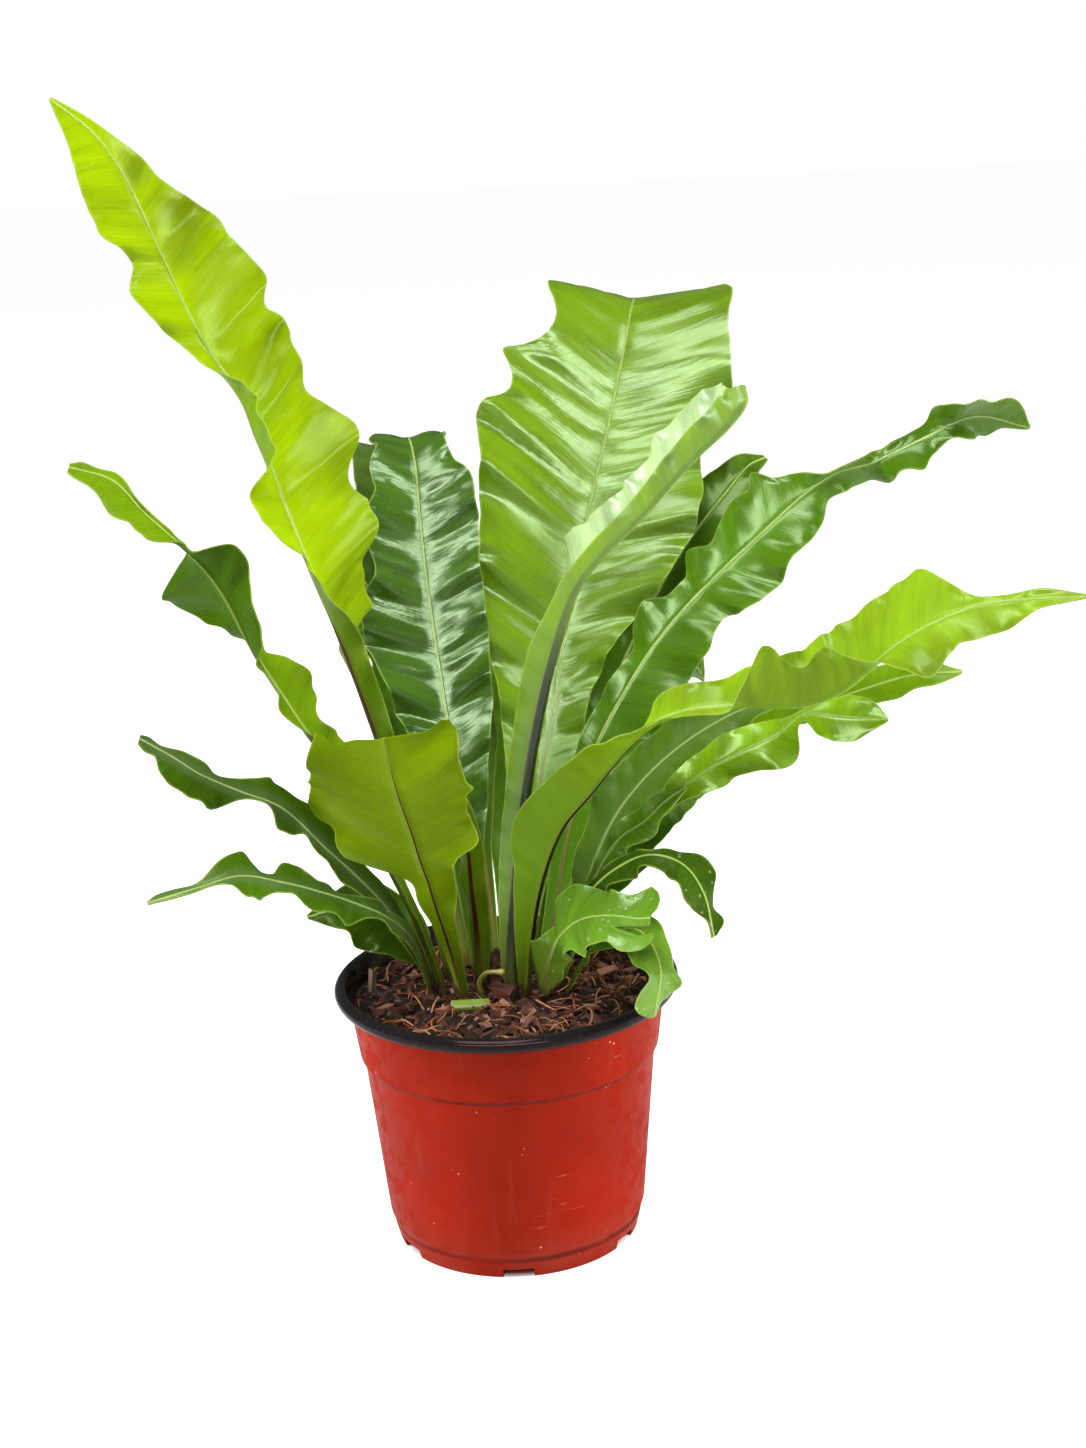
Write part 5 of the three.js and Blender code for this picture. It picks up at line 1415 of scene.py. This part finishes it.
# ---- Operators -------------------------------------------------------------------------------------
class FERN_OT_pot(bpy.types.Operator):
    """Pot with its rolled rim, step, groove and drainage notches"""

    bl_idname = "fern.pot"
    bl_label = "Pot"

    def execute(self, context):
        made = context.scene.fern_pot
        points, faces, marks = pot_solid(made.segments)
        material = pot_material(tuple(made.body_colour), tuple(made.rim_colour))
        set_in(add_mesh("nursery_pot", points, faces, material, marks, crisp=40), "pot", "pot")
        return {"FINISHED"}


class FERN_OT_mix(bpy.types.Operator):
    """Potting mix with bark chips, coir fibres and pale grit on it"""

    bl_idname = "fern.mix"
    bl_label = "Potting mix"

    def execute(self, context):
        made = context.scene.fern_mix
        random, lone = (np.random.default_rng(SEEDS[key]) for key in ("litter", "lone"))
        points, faces, marks = mix_solid()
        crumb = mix_material(tuple(made.mix_colour))
        set_in(add_mesh("potting_mix_top", points, faces, crumb, marks), "potting_mix", "potting_mix")

        def strewn(name, count):
            return chips(random, spots(random, count, LITTER_REACH[name]), *CHIPS[name])

        def placed(name, place):
            return chips(lone, np.array([place]), *CHIPS[name])

        bark, coir, grit = map(litter_material, ("bark", "coir", "grit"))
        stub, sheath = map(litter_material, ("dry_stub", "sheath"))
        large = strewn("bark_large", made.chip_count // SMALL_FOR_A_LARGE)
        small = strewn("bark_small", made.chip_count)
        fibre_places = spots(random, made.fibre_count, LITTER_REACH["coir_fibres"])
        kinds = [
            ("bark_large", bark, large),
            ("bark_small", bark, small),
            ("coir_fibres", coir, fibres(random, fibre_places, **FIBRES)),
            ("pale_grit", grit, strewn("pale_grit", GRIT_COUNT)),
            ("upright_stub", stub, placed("upright_stub", STUB_PLACE)),
            ("old_sheath", sheath, placed("old_sheath", SHEATH_PLACE)),
        ]
        for name, material, (points, faces, marks) in kinds:
            set_in(add_mesh(name, points, faces, material, marks, crisp=35), "potting_mix")
        return {"FINISHED"}


class FERN_OT_crown(bpy.types.Operator):
    """Scaly crown, and the scales at the foot of each stalk"""

    bl_idname = "fern.crown"
    bl_label = "Crown"

    def execute(self, context):
        random = np.random.default_rng(SEEDS["crown"])
        brown = litter_material("crown_scales")
        points, faces, marks = crown_solid(random, **CROWN_SCALES)
        set_in(add_mesh("crown_scales", points, faces, brown, marks), "crown", "crown")
        points, faces, marks = stalk_scales(random, FRONDS.values(), **STALK_SCALES)
        set_in(add_mesh("stalk_scales", points, faces, brown, marks), "crown")
        return {"FINISHED"}


class FERN_OT_stalks(bpy.types.Operator):
    """Hooked young frond and the stump of a cut one"""

    bl_idname = "fern.stalks"
    bl_label = "Young frond and stump"

    def execute(self, context):
        points, faces, marks = young_solid()
        pale = stalk_material("young_frond", *YOUNG_TONES, "chance")
        set_in(add_mesh("young_frond", points, faces, pale, marks), "young_stalk", "frond_young")
        points, faces, marks = stump_solid()
        green = stalk_material("cut_stalk", *CUT_TONES, "cut")
        set_in(add_mesh("cut_stalk", points, faces, green, marks, crisp=50), "cut_stalk", "cut_stump")
        return {"FINISHED"}


class FERN_OT_fronds(bpy.types.Operator):
    """Every frond of the rosette, each its own piece"""

    bl_idname = "fern.fronds"
    bl_label = "Fronds"

    def execute(self, context):
        made = context.scene.fern_fronds
        slots = {part["node"]: part["material_slot"] for part in frame["record"]["subparts"]}
        for seed, (node, spec) in enumerate(FRONDS.items()):
            points, faces, marks = frond_solid(spec, made.blade / MM, made.pace / MM, seed)
            material = leaf_material(node + "_leaf", LOOKS[node], made.gloss, seed)
            blade = add_mesh(node + "_blade", points, faces, material, marks, crisp=80)
            set_in(blade, slots[node], node)
        return {"FINISHED"}


class FERN_OT_stage(bpy.types.Operator):
    """Pale floor, soft studio light and the camera"""

    bl_idname = "fern.stage"
    bl_label = "Stage"

    def execute(self, context):
        made, scene = context.scene.fern_stage, context.scene
        floor = Finish("floor", specular_ior_level=0.1, emission_color=(1, 1, 1))
        out = floor.node("ShaderNodeVectorMath", {0: floor.place()}, output="Value", operation="LENGTH")
        seen = floor.times(floor.node("ShaderNodeLightPath", output="Is Camera Ray"), FLOOR["glow"])
        seen = floor.times(seen, floor.step(out, *FLOOR["clear"]))
        tone = tuple(made.floor_colour)
        material = floor.done(base_color=tone, roughness=0.9, emission_strength=seen)
        corner = FLOOR["half"] * np.array([[-1, -1, 0], [1, -1, 0], [1, 1, 0], [-1, 1, 0]])
        sheet = corner - [0, 0, FLOOR["below"]]
        add_mesh("floor", sheet, [np.array([[0, 1, 2, 3]])], material)
        lay_daylight(scene, made.daylight)
        for softbox in SOFTBOXES:
            add_softbox(scene, *softbox)
        place_camera(scene, made.lens, made.distance)
        return {"FINISHED"}


OPERATORS = (FERN_OT_pot, FERN_OT_mix, FERN_OT_crown, FERN_OT_stalks, FERN_OT_fronds, FERN_OT_stage)
SETTINGS = dict(
    fern_pot=PotSettings, fern_mix=MixSettings, fern_fronds=FrondSettings, fern_stage=StageSettings)


class FERN_PT_panel(bpy.types.Panel):
    """Sizes and colours of the potted fern, and the steps that make it"""

    bl_idname = "FERN_PT_panel"
    bl_label = "Potted fern"
    bl_space_type = "VIEW_3D"
    bl_region_type = "UI"
    bl_category = "Fern"

    def draw(self, context):
        for group in SETTINGS:
            box = self.layout.box()
            for key in SETTINGS[group].__annotations__:
                box.prop(getattr(context.scene, group), key)
        for operator in OPERATORS:
            self.layout.operator(operator.bl_idname)


def register():
    for made in (*SETTINGS.values(), *OPERATORS, FERN_PT_panel):
        bpy.utils.register_class(made)
    for name, group in SETTINGS.items():
        setattr(bpy.types.Scene, name, PointerProperty(type=group))


def unregister():
    for name in SETTINGS:
        delattr(bpy.types.Scene, name)
    for made in (FERN_PT_panel, *reversed(OPERATORS), *SETTINGS.values()):
        bpy.utils.unregister_class(made)


def main():
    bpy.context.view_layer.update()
    register()
    for step in ("stage", "pot", "mix", "crown", "stalks", "fronds"):
        getattr(bpy.ops.fern, step)()


if __name__ == "__main__":
    main()
